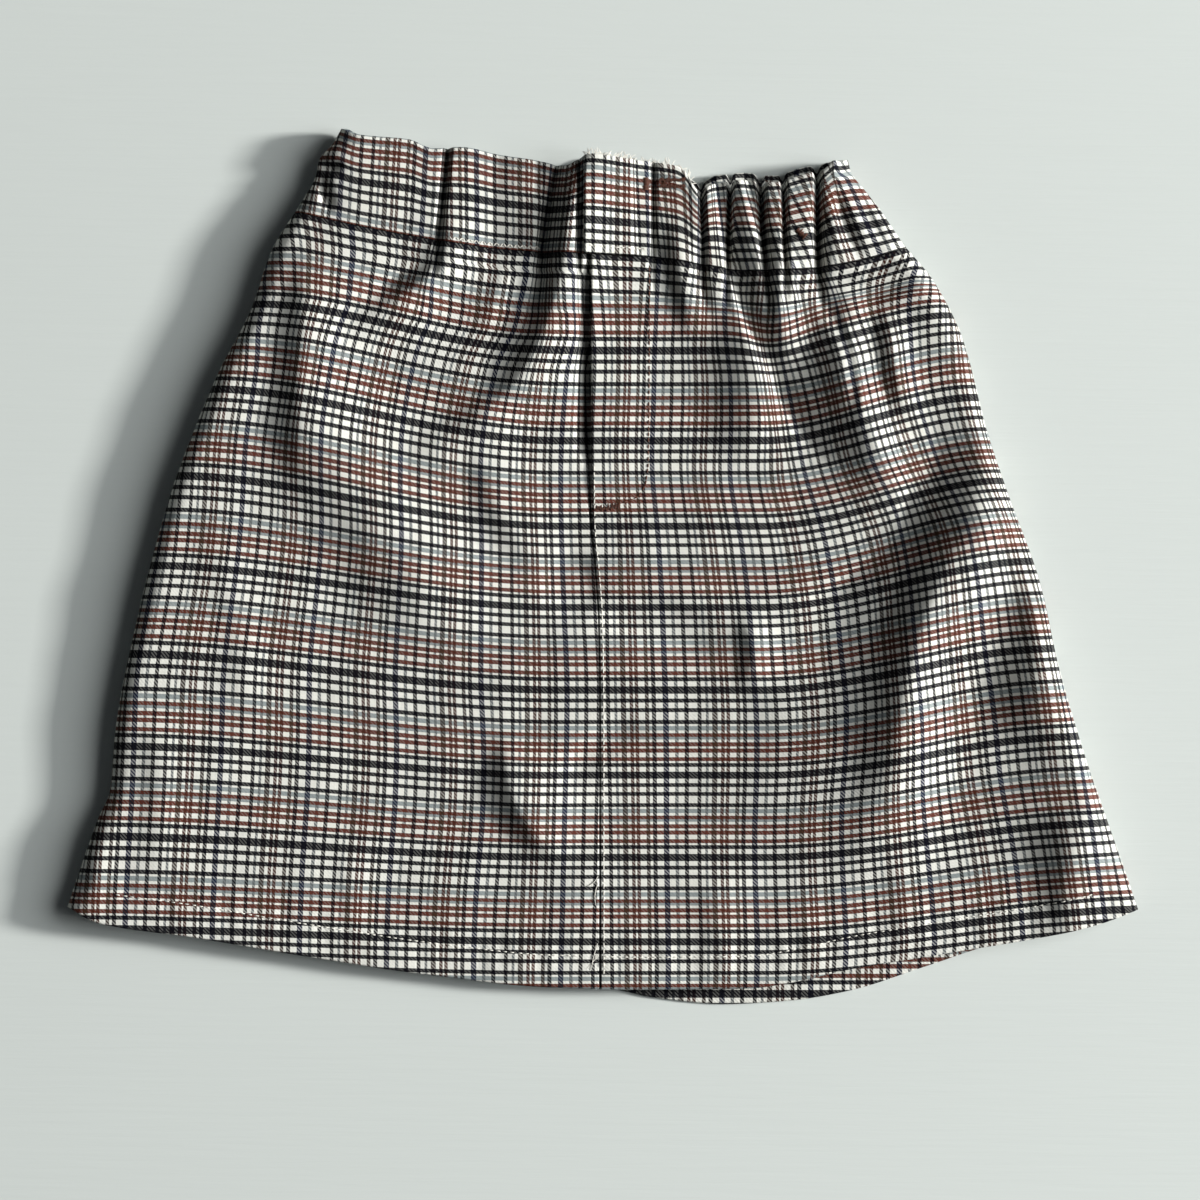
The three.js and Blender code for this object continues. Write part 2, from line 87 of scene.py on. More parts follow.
def curve(table, along, value):
    """Cubic Hermite curve through a table's rows, flat beyond its ends. A row's slope is the
    harmonic mean of the two chords beside it, 0 where they turn, and the chord's own at both
    ends."""
    order = np.argsort(table[along])
    at, height = table[along][order], table[value][order]
    chord = np.diff(height) / np.diff(at)
    same_way = chord[:-1] * chord[1:]
    total = np.where(same_way > 0, chord[:-1] + chord[1:], 1)
    middle = np.where(same_way > 0, 2 * same_way / total, 0)
    slope = np.concatenate([chord[:1], middle, chord[-1:]])

    def read(x):
        x = np.clip(x, at[0], at[-1])
        i = np.clip(np.searchsorted(at, x, side="right") - 1, 0, len(at) - 2)
        span, rise = at[i + 1] - at[i], height[i + 1] - height[i]
        t = (x - at[i]) / span
        a, b = slope[i] * span - rise, rise - slope[i + 1] * span
        return height[i] + t * rise + t * (1 - t) * (a * (1 - t) + b * t)

    return read


# %% [markdown]
# ## The cut of the skirt
#
# The skirt's outline is six curves: its two sides, the waistband's top edge, the waist seam
# and the two hems, of which the back's hangs lower at the right. They are the CAD model's own
# tables, so nothing is fitted afterwards. Only the line of the lap is drawn anew below the fly,
# where it bends by up to 2 mm.

# %% Cloth sizes
CLOTH = 1.2  # one layer of brushed twill
HEM_CLOTH = 2.2  # hem allowance turned up once
BAND_CLOTH = 2.6  # waistband casing, folded double
SEAM_GAP = 0.3  # sewn pieces stand this far apart
HEM_TURN = 16.0  # height of the turned-up hem
SIDE_ROLL = 9.0  # radius that the cloth turns round at each side seam

LAP = 20.0  # the left panel runs on this far under the right one
FLY_END = 47.0  # where the open fly ends and the plain lapped seam starts
FLY_FACING = 1.2  # extra layer in the fly's folded edge
FLY_GAPE = 4.2  # how far the left panel sinks beside the open fly
LAP_RISE = 1.6  # how far the fly's folded edge stands above the front's own surface
LOW_LAP_RISE = 0.3  # the same below the fly's end, where the lap is sewn down
LAP_EASE = 30.0  # distance over which that rise dies away
TAB_RISE = 3.0  # the same rise for the waistband's overlapping end
STEP_OFF = 4.0  # width of the small step just left of the folded edge
SEWN_STEP = 0.9  # the same where the lap is sewn down
LOWEST_FRONT = 9.0  # the large folds never sink nearer to the table than this

# %% Outline tables and their curves
LEFT_SIDE = rows(
    "y x",
    (196, -116), (189, -120), (182, -126), (175, -127.5), (163, -134), (142, -147),
    (115, -156.5), (89, -170), (62, -181.5), (35, -191.5), (-18, -206), (-71, -216.5),
    (-98, -219), (-111, -224.5), (-138, -234), (-150, -238),
)
RIGHT_SIDE = rows(
    "y x",
    (182, 109), (177, 110), (169, 116), (160, 123), (144, 134), (128, 147), (102, 160),
    (62, 170.5), (35, 179.5), (-5, 194), (-45, 203), (-85, 215), (-125, 229), (-151, 238),
)
BAND_TOP = rows(
    "x y",
    (-117, 196), (-108, 192.5), (-86, 190.5), (-75, 186.5), (-63, 187), (-45, 183.6),
    (-28, 181), (-17, 179), (-6, 183.5), (8, 182), (32, 179), (43, 171.5), (51, 174.5),
    (62, 175.5), (75, 174.5), (90, 178), (110, 182),
)
WAIST_SEAM = rows(
    "x y",
    (-135, 158), (-113, 153), (-90, 148.6), (-65, 144.4), (-40, 141.4), (-8, 139.6),
    (20, 138.4), (43, 135), (65, 132.2), (85, 132.6), (103, 134.6), (118, 137.8), (137, 143.4),
)
FRONT_HEM = rows(
    "x y",
    (-238, -149.5), (-223, -157), (-183, -163), (-130, -172), (-77, -180), (-24, -185.5),
    (20, -186.5), (65, -186), (83, -183.5), (110, -177.5), (146, -171.5), (199, -162.5),
    (220, -157.5), (238, -151),
)
BACK_HEM = rows(
    "x y",
    (-238, -149.5), (-223, -156), (-183, -162), (-130, -171), (-77, -179), (-24, -184.5),
    (5, -187), (22, -190.5), (54, -193.5), (83, -192), (110, -187.5), (143, -177),
    (180, -165), (220, -156.5), (238, -151),
)
CENTRE = rows(
    "y x",
    (184, -8.5), (141, -8.5), (138.5, -5.2), (47, -5.3), (20, -5), (0, -3.2), (-22, -1.7),
    (-60, -1.1), (-200, -1),
)
RISES = rows(
    "y left middle right",
    (196, 17, 14.5, 14), (150, 17.5, 15, 15), (80, 18, 13, 15), (0, 17, 12, 14),
    (-80, 15.5, 10.5, 12), (-150, 14, 10, 10.5), (-200, 13, 9.5, 9.5),
)

left_side = curve(LEFT_SIDE, "y", "x")
right_side = curve(RIGHT_SIDE, "y", "x")
band_top = curve(BAND_TOP, "x", "y")
waist_seam = curve(WAIST_SEAM, "x", "y")
front_hem = curve(FRONT_HEM, "x", "y")
back_hem = curve(BACK_HEM, "x", "y")
centre = curve(CENTRE, "y", "x")
rise_left = curve(RISES, "y", "left")
rise_middle = curve(RISES, "y", "middle")
rise_right = curve(RISES, "y", "right")
print("hem width", right_side(-151) - left_side(-151), "mm")

# %% [markdown]
# ## Folds
#
# A garment that is dropped flat keeps a few large rolls of air under its front, and from them
# small creases run out. Cloth simulation could find folds, but not these ones, so each is
# listed one by one: a bell across a smooth path, wider on its flat side than on its steep side,
# faded in and out along its length. The first table holds the large folds, most of them as in
# the CAD model, the second the creases, and one low roll at the right, that are here alone.

# %% The folds' tables
Fold = namedtuple("Fold", "rise left right head path")
LARGE_FOLDS = [
    Fold(6, 8, 22, 0, [(-133, 152), (-131, 110), (-133, 65), (-124, 22)]),
    Fold(7, 22, 28, 0, [(-130, 88), (-112, 44), (-84, 0), (-50, -48)]),
    Fold(5.5, 6, 11, 0, [(-64, 162), (-68, 142), (-84, 123), (-116, 104)]),
    Fold(8, 6.5, 16, 1, [(-5, 182), (-18, 130), (-34, 88), (-74, 60)]),
    Fold(4, 10, 14, 0, [(-40, 80), (-62, 60), (-92, 46)]),
    Fold(4, 9, 20, 0, [(-52, 62), (-45, 28), (-16, 0)]),
    Fold(6, 7, 20, 0, [(-39, -68), (-40, -96), (-10, -130)]),
    Fold(-5, 10, 10, 0, [(-19, 10), (-14, -6), (-10, -24)]),
    Fold(-3, 7, 7, 0, [(-6, -18), (26, -27), (56, -36)]),
    Fold(-2.5, 5, 6, 0, [(18, -66), (0, -76), (-18, -98)]),
    Fold(3.5, 5, 8, 0, [(58, -20), (67, -34), (66, -44), (58, -54)]),
    Fold(4, 5, 9, 0, [(32, 160), (36, 125), (42, 98)]),
    Fold(7, 17, 10, 0, [(63, 134), (67, 98), (66, 64), (50, 46)]),
    Fold(6, 6, 8, 0, [(76, 150), (78, 118), (86, 86)]),
    Fold(10, 14, 9, 0, [(107, 134), (109, 98), (117, 64), (137, 20)]),
    Fold(6, 6, 6, 0, [(124, 122), (129, 92), (137, 60)]),
    Fold(12, 16, 18, 0, [(162, 96), (168, 36), (147, -12), (135, -60), (113, -146)]),
    Fold(4, 8, 10, 0, [(172, 34), (169, 6), (158, -22)]),
    Fold(7, 13, 14, 0, [(203, 8), (195, -30), (188, -84)]),
    Fold(8, 30, 14, 0, [(208, -20), (213, -80), (224, -156)]),
    Fold(5, 12, 12, 0, [(204, -100), (208, -135), (208, -176)]),
    Fold(7, 48, 20, 0, [(126, -30), (118, -80), (110, -148)]),
    Fold(4, 18, 9, 0, [(132, 154), (148, 122), (162, 84)]),
    Fold(1.5, 7, 12, 0, [(50, -130), (50, -160), (52, -190)]),
]
SMALL_FOLDS = [
    Fold(-5, 2, 2.6, 0, [(-127, 184), (-123.5, 179), (-120, 178), (-115, 181)]),
    Fold(-4.5, 2, 2.6, 0, [(-125, 178), (-123.5, 168), (-119.5, 156)]),
    Fold(-2.6, 2.5, 5, 0, [(-66, 148), (-75, 137), (-88, 130), (-112, 122)]),
    Fold(2.4, 4, 3, 0, [(-13, 180), (-16, 158), (-19, 136)]),
    Fold(-3.4, 2.5, 5, 1, [(-27, 146), (-29, 126), (-38, 104)]),
    Fold(1.2, 4, 5, 0, [(-44, 138), (-47, 120), (-58, 104)]),
    Fold(-1.2, 4, 4, 0, [(3, -9), (34, -20), (60, -30)]),
    Fold(-6, 2.2, 6.5, 1, [(54, 150), (60, 124), (70, 96), (84, 68), (102, 46)]),
    Fold(-3.6, 2.2, 7, 0, [(127, 46), (135, 29), (128, 12), (112, -3), (80, -16)]),
    Fold(2.6, 9, 15, 0, [(168, 60), (165, 20), (147, -14), (135, -60), (116, -130)]),
    Fold(-4, 2.2, 4, 1, [(70, 150), (73, 132), (72, 108)]),
    Fold(-4.4, 2.2, 4, 0, [(93, 172), (95, 148), (93, 118)]),
    Fold(-4.4, 2.4, 4, 0, [(102, 172), (107, 152), (115, 134)]),
    Fold(-4.4, 4, 5, 0, [(93, 126), (105, 108), (110, 60)]),
    Fold(2.6, 5, 2, 0, [(100, 122), (108, 106), (113, 58)]),
    Fold(-3, 2.5, 3, 0, [(24, 150), (27, 134), (34, 112)]),
    Fold(-3, 2.5, 3.5, 0, [(41, 148), (43, 130), (46, 108)]),
    Fold(-2.4, 2, 3, 0, [(114, 164), (119, 153), (127, 144)]),
    Fold(1.4, 2.5, 3, 0, [(106, 131), (122, 129), (137, 136)]),
    Fold(1.4, 2.5, 3, 0, [(118, 119), (134, 121), (148, 128)]),
    Fold(1.2, 2.5, 3, 0, [(124, 108), (141, 109), (155, 114)]),
    Fold(1.2, 2.5, 3, 0, [(130, 96), (146, 97), (159, 101)]),
    Fold(-1.5, 5, 6, 0, [(140, 84), (146, 40), (134, 2), (108, -60)]),
    Fold(1.0, 8, 10, 0, [(-176, 30), (-160, -30), (-150, -90)]),
    Fold(1.2, 7, 9, 0, [(-205, -50), (-196, -100), (-200, -150)]),
    Fold(1.6, 5, 8, 0, [(-222, -104), (-226, -126), (-220, -152)]),
    Fold(0.9, 6, 8, 0, [(-118, -110), (-112, -140), (-114, -178)]),
    Fold(0.9, 7, 8, 0, [(128, -120), (134, -150), (138, -178)]),
    Fold(0.8, 5, 6, 0, [(88, -140), (92, -160), (94, -184)]),
]
BACK_CREASES = [
    Fold(2.6, 9, 12, 1, [(-92, 146), (-110, 80), (-128, 20)]),
    Fold(2.4, 10, 9, 1, [(-30, 139), (-42, 70), (-50, -10)]),
    Fold(2.6, 10, 10, 1, [(66, 138), (84, 70), (96, 0)]),
    Fold(2.2, 12, 14, 0, [(150, -20), (160, -70), (172, -120)]),
]
STATIONS = 48  # places along a fold's path that its shape is measured from
FADE_IN, FADE_OUT = 0.35, 0.4  # shares of a fold's length over which it comes and goes


# %% One fold as a formula
def spine(path):
    """Evenly spaced places along a path, its unit tangents there and its length. The path is
    the one polynomial, in the share of the chords run, that passes through all its points."""
    points = np.array(path, float)
    run = np.concatenate([[0], np.cumsum(np.hypot(*np.diff(points, axis=0).T))])
    bend = np.polyfit(run / run[-1], points, len(points) - 1)
    fine = np.linspace(0, 1, 6 * STATIONS)
    x, y = (np.polyval(bend[:, k], fine) for k in (0, 1))
    length = np.concatenate([[0], np.cumsum(np.hypot(np.diff(x), np.diff(y)))])
    even = np.linspace(0, length[-1], STATIONS + 1)
    places = np.stack([np.interp(even, length, x), np.interp(even, length, y)], axis=1)
    tangents = np.gradient(places, axis=0)
    return places, tangents / np.hypot(*tangents.T)[:, None], length[-1]


def fold_height(fold, x, y):
    """Height of one fold at x, y: rise times a bell of the distance across the path, over the
    left or the right width, times a bell of the distance past its ends, faded in over
    FADE_IN and out over FADE_OUT. A fold with head 1 isn't faded in, and runs on at its full
    rise before its first point."""
    places, tangents, length = spine(fold.path)
    far = (x[..., None] - places[:, 0]) ** 2 + (y[..., None] - places[:, 1]) ** 2
    nearest = far.argmin(axis=-1)
    dx, dy = x - places[nearest, 0], y - places[nearest, 1]
    tx, ty = tangents[nearest, 0], tangents[nearest, 1]
    along, across = dx * tx + dy * ty, dy * tx - dx * ty
    t = nearest / STATIONS + along / length
    width = np.where(across < 0, fold.left, fold.right)
    start = mix(ease(t / FADE_IN), 1, fold.head)
    past = np.where((t > 1) | ((t < 0) & (fold.head == 0)), along, 0)
    return fold.rise * start * ease((1 - t) / FADE_OUT) * bell(across / width) * bell(past / width)


def total(folds, x, y):
    """Sum of the heights of several folds."""
    return sum(fold_height(fold, x, y) for fold in folds)


# %% [markdown]
# ## Gathers
#
# The elastic in the casing draws the right half of the band into flat-topped gathers with
# narrow clefts between them, while the left half is nearly flat, with a few narrow tucks. A
# gather is a line that runs from the top edge to the waist seam; between two lines the cloth
# rises or sinks in a quarter wave. Under the seam each one dies away within some 20 mm.

# %% The gathers' lines
LEFT_GATHERS = rows(
    "top foot rise",
    (-104, -108, 1), (-82, -88, 0.3), (-71.5, -76, 0.6), (-68.8, -73, -6.5),
    (-65.5, -69.5, 1.8), (-47, -49, -0.8), (-26, -32, 2), (-20.5, -27.5, -6.5),
    (-17, -21.5, 0.6), (-12.8, -13.2, 0.8), (-10.6, -10.8, -5),
)
RIGHT_GATHERS = rows(
    "top foot rise",
    (-8.5, -8.5, -0.5), (8, 8, 0), (19.5, 19.5, 0.8), (22.4, 22.4, -4), (25, 25, 0.4),
    (37, 38, 0.8), (41.2, 42.2, 1.2), (43.6, 44.8, -5.5), (46.2, 47.2, 2.4), (54.4, 53, 2.2),
    (56.6, 55.2, -6.5), (59, 57.6, 2.4), (66.5, 68.5, 2.6), (70, 72.5, -7), (73, 75.4, 2.2),
    (77.8, 78.4, 2.2), (79.8, 80.8, -5), (82.4, 83.8, 2.6), (92.2, 92.8, 3), (95, 96, -6.5),
    (97.8, 99.4, 2.2), (102, 106, 2.6),
)
GATHER_ENDS = rows("top foot rise", (-117, -126, 0), (104, 122, 0))
GATHER_FOOT = 0.7  # share of a gather's rise that is left at the waist seam
GATHER_FADE = 0.5  # how far under the seam it dies away, in heights of the band
ALL_GATHERS = {
    name: np.concatenate([
        GATHER_ENDS[name][:1], LEFT_GATHERS[name], RIGHT_GATHERS[name], GATHER_ENDS[name][1:]
    ])
    for name in ("top", "foot", "rise")
}


def lobe(before, behind, t):
    """From one gather's rise to the next, along a quarter of a sine wave that is level on
    the crest and steep in the hollow, so that crests are round and hollows are sharp."""
    climb = np.sin(np.clip(t, 0, 1) * np.pi / 2)
    drop = 1 - np.cos(np.clip(t, 0, 1) * np.pi / 2)
    return mix(before, behind, np.where(behind > before, climb, drop))


def gather_height(x, y):
    """A lobe from each gather's line to the next one, at full rise on the top edge and at
    GATHER_FOOT of it on the seam, then easing to nothing over GATHER_FADE of the band."""
    v = (band_top(x) - y) / (band_top(x) - waist_seam(x))
    v_line = np.clip(v, 0, 1 + GATHER_FADE)
    lines = mix(ALL_GATHERS["top"], ALL_GATHERS["foot"], v_line[..., None])
    after = np.clip((lines <= x[..., None]).sum(axis=-1), 1, lines.shape[-1] - 1)
    low = np.take_along_axis(lines, after[..., None] - 1, axis=-1)[..., 0]
    high = np.take_along_axis(lines, after[..., None], axis=-1)[..., 0]
    before, behind = ALL_GATHERS["rise"][after - 1], ALL_GATHERS["rise"][after]
    rise = lobe(before, behind, (x - low) / (high - low))
    return rise * mix(1, GATHER_FOOT, np.clip(v, 0, 1)) * ease(1 - (v - 1) / GATHER_FADE)


# %% [markdown]
# ## The height of the front and of the back
#
# The front is a shallow dome, higher at the left where it stands on its side seam. Folds and
# gathers are added to it, and a faint undulation that no pressed cloth is without. The back
# lies on the table and lifts only where the elastic or a crease raises it.

# %% Height formulas
SOFT_FLOOR = 0.5  # how gently the front meets its lowest height
RIPPLES = 14
ripple_turn = rng.uniform(0, 2 * np.pi, RIPPLES)
ripple_length = rng.uniform(22, 60, RIPPLES)
ripple_phase = rng.uniform(0, 2 * np.pi, RIPPLES)
RIPPLE_RISE = 0.08


def undulation(x, y):
    """Sum of a few long sine waves in random directions."""
    wave = np.zeros_like(x)
    for turn, length, phase in zip(ripple_turn, ripple_length, ripple_phase):
        wave += np.sin(2 * np.pi * (x * np.cos(turn) + y * np.sin(turn)) / length + phase)
    return RIPPLE_RISE * wave


def front_height(x, y):
    """Height of the front's outer face: the middle rise blended to the side's rise by the
    square of an eased distance from the middle, plus folds and gathers, softly kept above
    LOWEST_FRONT, plus small creases and the undulation."""
    across = np.clip((x - left_side(y)) / (right_side(y) - left_side(y)), 0, 1)
    side = np.where(across < 0.5, rise_left(y), rise_right(y))
    dome = mix(rise_middle(y), side, ease(np.abs(across - 0.5) * 2) ** 2)
    main = dome + total(LARGE_FOLDS, x, y) + gather_height(x, y)
    above = main - LOWEST_FRONT
    kept = LOWEST_FRONT + np.logaddexp(0, above / SOFT_FLOOR) * SOFT_FLOOR
    return kept + total(SMALL_FOLDS, x, y) + undulation(x, y)


def seam_height(x, y):
    """Height of the side seam: half of the front's rise at that side."""
    return np.where(x < 0, rise_left(y), rise_right(y)) / 2


BACK_GATHERS, BACK_RISE = 14, 2.6  # how many there are, and how high they lift the back
BACK_FADE = 60.0  # how far under the waist seam they have died away


def back_lift(x, y):
    """Lift of the back's underside: even gathers that ease away under the waist seam, or a
    crease where that is higher."""
    share = (x - left_side(y)) / (right_side(y) - left_side(y))
    wave = 0.5 - 0.5 * np.cos(2 * np.pi * BACK_GATHERS * share)
    gathers = BACK_RISE * ease(1 - (waist_seam(x) - y) / BACK_FADE) * wave
    return np.minimum(BACK_RISE, np.maximum(gathers, total(BACK_CREASES, x, y)))


# %% [markdown]
# ## A cloth wall on a grid
#
# Every piece is one closed wall: an upper and a lower face on the same grid, joined round the
# rim. Cut and folded edges are rounded by drawing the two faces together near the rim, along
# a quarter circle, which also makes the shallow ditch of a seam where two pieces meet. The
# grid is denser there. Arrays hold all points at once.


# %% Grid stations and rounding
EDGE_STEPS = 4  # stations round one rounded edge


def stations(length, count, first=0.0, last=0.0):
    """Distances from 0 to length in even steps, with a fan of closer stations round an edge
    of radius first at the start and last at the end (1 minus cosine of even angles)."""
    fan = 1 - np.cos(np.linspace(0, np.pi / 2, EDGE_STEPS + 1))[:-1]
    middle = np.linspace(first, length - last, count)
    before = fan * first if first else []
    after = length - fan[::-1] * last if last else []
    return np.concatenate([before, middle, after])


def inset(distance, radius):
    """How far a face sinks at a distance from a rounded edge: a quarter circle."""
    if not radius:
        return np.zeros_like(distance)
    near = np.clip(radius - distance, 0, radius)
    return radius - np.sqrt(radius**2 - near**2)


def side_point(side, upper, lower, v):
    """x where row v of a piece meets a side: y follows the row while x follows the side."""
    x = np.full_like(v, side(upper(0.0)))
    for _ in range(8):
        x = side(mix(upper(x), lower(x), v))
    return x


def roll_columns(count, edge, inward, wall):
    """Columns round a side roll: a quarter ellipse from the seam up to the flat cloth, for
    the outer face, the shift to the inner face and how far the wall has turned."""
    angle = np.linspace(0, np.pi / 2, count + 1)[:-1]
    outer = SIDE_ROLL * (1 - np.cos(angle))
    inner = wall + (SIDE_ROLL - wall) * (1 - np.cos(angle))
    return edge[:, None] + inward * outer, inward * (inner - outer), np.sin(angle)


# %% From arrays to a mesh
def grid_quads(rows_count, columns):
    """Corner numbers of a grid's quads, counter-clockwise seen from above."""
    r, c = np.meshgrid(np.arange(rows_count - 1), np.arange(columns - 1), indexing="ij")
    a = (r * columns + c).ravel()
    return np.stack([a, a + columns, a + columns + 1, a + 1], axis=1)


def strip_quads(upper, lower):
    """Quads between two lines of corner numbers that run the same way."""
    return np.stack([upper[:-1], upper[1:], lower[1:], lower[:-1]], axis=1)


def make_mesh(name, points, faces, uv=None):
    """Mesh object from points in millimetres and an array of quads or triangles."""
    mesh = bpy.data.meshes.new(name)
    mesh.vertices.add(len(points))
    mesh.vertices.foreach_set("co", (points * MM).astype(np.float32).ravel())
    sides = faces.shape[1]
    mesh.loops.add(faces.size)
    mesh.loops.foreach_set("vertex_index", faces.astype(np.int32).ravel())
    mesh.polygons.add(len(faces))
    mesh.polygons.foreach_set("loop_start", np.arange(0, faces.size, sides, dtype=np.int32))
    mesh.polygons.foreach_set("use_smooth", np.ones(len(faces), bool))
    mesh.update(calc_edges=True)
    if uv is not None:
        layer = mesh.uv_layers.new(name="cloth")
        layer.data.foreach_set("uv", uv[faces.ravel()].astype(np.float32).ravel())
    mesh.validate()
    piece = bpy.data.objects.new(name, mesh)
    bpy.context.scene.collection.objects.link(piece)
    return piece


def wall_mesh(name, upper, lower, cloth):
    """Closed wall between two faces on one grid of (row, column), with cloth coordinates."""
    rows_count, columns = upper.shape[:2]
    size = rows_count * columns
    top = grid_quads(rows_count, columns)
    number = np.arange(size).reshape(rows_count, columns)
    rims = [number[0], number[:, -1][1:], number[-1][::-1][1:], number[:, 0][::-1][1:]]
    rim = np.concatenate(rims)
    faces = np.concatenate([top, top[:, ::-1] + size, strip_quads(rim, rim + size)])
    points = np.concatenate([upper.reshape(-1, 3), lower.reshape(-1, 3)])
    piece = make_mesh(name, points, faces, np.tile(cloth.reshape(-1, 2), (2, 1)))
    areas = np.empty(len(piece.data.polygons), np.float32)
    piece.data.polygons.foreach_get("area", areas)
    print(f"{name}: {rows_count} x {columns} grid, {2 * len(faces)} triangles,"
          f" {areas.sum() / 2:.4f} square metres of cloth")
    return piece


# %% [markdown]
# ## Cloth coordinates
#
# The plaid belongs to the cloth, not to the table, so each point gets the place it had on the
# flat cloth. Along a row this is the distance run over hill and dale, with the slopes counted
# more than once because real gathers are steeper than a wall can be. Down the skirt the weft
# bands sag in the middle and climb to both side seams, as an A-line cut makes them do.

# %% Where the plaid lies on the panels
WARP_REPEAT, WEFT_REPEAT = 39.5, 41.0  # the sett's size across and down the cloth
WARP_SPACING = rows(  # distance between two brown warp groups as they lie, in each panel
    "y left right",
    (-164, 38.6, 39), (-98, 38.3, 37.2), (-58, 38.2, 36.3), (13, 35.9, 33.8), (51, 35, 31.4),
    (91, 34, 29.5), (128, 34.7, 29),
)
WARP_START = rows(  # the brown group nearest to the fly, in each panel
    "y left right",
    (-165, -32, 15.5), (-58, -29, 14), (13, -30, 12), (51, -31, 10), (91, -28, 11),
    (111, -23, 11),
)
WEFT_BANDS = rows(  # repeats down the centre front, and how far each climbs to the sides
    "y repeat left right",
    (180, -1, 20, 6), (138.6, 0, 18.5, 7), (110.8, 0.662, 19.5, 13), (70.4, 1.662, 22.5, 19),
    (31.7, 2.662, 23, 19.5), (-4.7, 3.662, 19.5, 21), (-40.6, 4.662, 17, 18.8),
    (-78.8, 5.662, 14, 18), (-115.2, 6.662, 11, 16), (-152.5, 7.662, 7, 15),
    (-190, 8.662, 5, 13),
)
WARP_GROUP = {"left": 6, "right": 7}  # which brown group starts there, from the left side on
CLIMB_STARTS = -19.0, 70.0  # x where the wefts' climb to the left and the right side starts
SAG, SAG_AT, SAG_WIDTH = -4.5, 76.0, 14.0  # how far they sag under the gathers, and where
SAG_FOOT, SAG_FADE = 80.0, 35.0  # height at which that sag starts, and what it fades over
SEAM_FOOT, SEAM_FADE = 108.0, 26.0  # the same for where they follow the waist seam
SLOPE_COUNT = 2.5  # how often the panels' slopes are counted
PANEL_WINDOW, BAND_WINDOW = 41, 61  # rows that the slopes are averaged over
weft_repeat = curve(WEFT_BANDS, "y", "repeat")
climb_left = curve(WEFT_BANDS, "y", "left")
climb_right = curve(WEFT_BANDS, "y", "right")


def row_mean(values, window):
    """Mean of each column over a window of rows, with the end rows repeated beyond the ends."""
    padded = np.pad(values, ((window // 2, window // 2), (0, 0)), mode="edge")
    total = np.concatenate([np.zeros((1, values.shape[1])), np.cumsum(padded, axis=0)])
    return (total[window:] - total[:-window]) / window


def cloth_run(x, z, flat, slopes, window):
    """Distance along each row: the flat step plus the slopes' surplus, which is averaged over
    a window of rows so that the warps keep to the folds, and counted slopes times on the flat
    columns and once round a side roll."""
    flat_step = np.abs(np.diff(x, axis=1))
    surplus = row_mean(np.hypot(flat_step, np.diff(z, axis=1)) - flat_step, window)
    count = np.where(flat[1:] & flat[:-1], slopes, 1.0)
    steps = flat_step + count * surplus
    return np.concatenate([np.zeros((len(x), 1)), np.cumsum(steps, axis=1)], axis=1)


def run_from(run, x, start):
    """The same distances, counted from where each row passes x = start."""
    nearest = np.abs(x - start[:, None]).argmin(axis=1)[:, None]
    at = np.take_along_axis(run, nearest, axis=1)
    return run - at - (start[:, None] - np.take_along_axis(x, nearest, axis=1))


def panel_warp(x, y, z, flat, side):
    """Warp coordinate of a front panel in repeats: WARP_GROUP at WARP_START, and on average one
    repeat for each WARP_SPACING out to the start of the side roll."""
    row_y = y.mean(axis=1)
    start = curve(WARP_START, "y", side)(row_y)
    run = run_from(cloth_run(x, z, flat, SLOPE_COUNT, PANEL_WINDOW), x, start)
    far = np.flatnonzero(flat)[0 if side == "left" else -1]
    even = (x[:, far] - start) / run[:, far]
    return WARP_GROUP[side] + run * even[:, None] / curve(WARP_SPACING, "y", side)(y)


def panel_weft(x, y):
    """Weft coordinate of the panels in repeats, growing downwards: the height without the
    climb to the sides is found in four rounds, then read from WEFT_BANDS. Near the waist the
    bands follow the seam instead."""
    level = y
    from_left, from_right = CLIMB_STARTS
    out_left = ease((from_left - x) / (from_left - left_side(y)))
    out_right = ease((x - from_right) / (right_side(y) - from_right))
    seam = waist_seam(x) - waist_seam(0.0)
    for _ in range(4):
        dip = SAG * bell((x - SAG_AT) / SAG_WIDTH) * ease((level - SAG_FOOT) / SAG_FADE)
        climb = climb_left(level) * out_left + climb_right(level) * out_right + dip
        level = y - mix(climb, seam, ease((level - SEAM_FOOT) / SEAM_FADE))
    return weft_repeat(level)


def cloth_map(warp, weft):
    """Warp and weft repeats as metres of cloth, a pair for each point."""
    return np.stack([warp * WARP_REPEAT, weft * WEFT_REPEAT], axis=-1) * MM


# %% [markdown]
# ## The two front panels
#
# They share one height formula, so they meet at the fly as the cut pieces do. The right panel
# has the folded edge on top and rises a little to it, and the left one steps down and runs on
# 20 mm under it. Both end in a turned-up hem: a second layer that stands slightly proud, with
# the pull of its stitching just above.

# %% The lap at the fly and the hem's relief
ROUND = 0.46  # radius of a rounded rim, as a share of the wall
SEAM_ROUND = 0.3  # radius of a sewn edge
ROLL_STEPS = 9  # columns round a side roll
STITCH_ABOVE_HEM = 14.5
HEM_PROUD = 0.4  # how far the doubled cloth of the hem stands proud
FURROW, FURROW_WIDTH = 0.35, 1.1  # depth and half width of the furrow along its stitches
PUCKER, PUCKER_REACH = 0.16, 9.0  # rise of the puckers, and how far from the stitches they go
PUCKER_LENGTHS = 8.7, 13.1  # two wavelengths that make them uneven
PUCKER_SLANT = 0.3  # how far the longer wave leans over
GAPE_FADE, GAPE_TOP = 12.0, 2.0  # the open fly gapes over this length, up to below the band
GAPE_SHIFT, GAPE_WIDTH = 1.6, 4.4  # how far from the edge it is deepest, and its half width


def facing(x, y):
    """Thickness of the fly's facing: full above FLY_END and under the lap, eased off round it."""
    down = ease((y - FLY_END) / STEP_OFF + 1)
    return FLY_FACING * down * ease((centre(y) + LAP + STEP_OFF - x) / STEP_OFF)


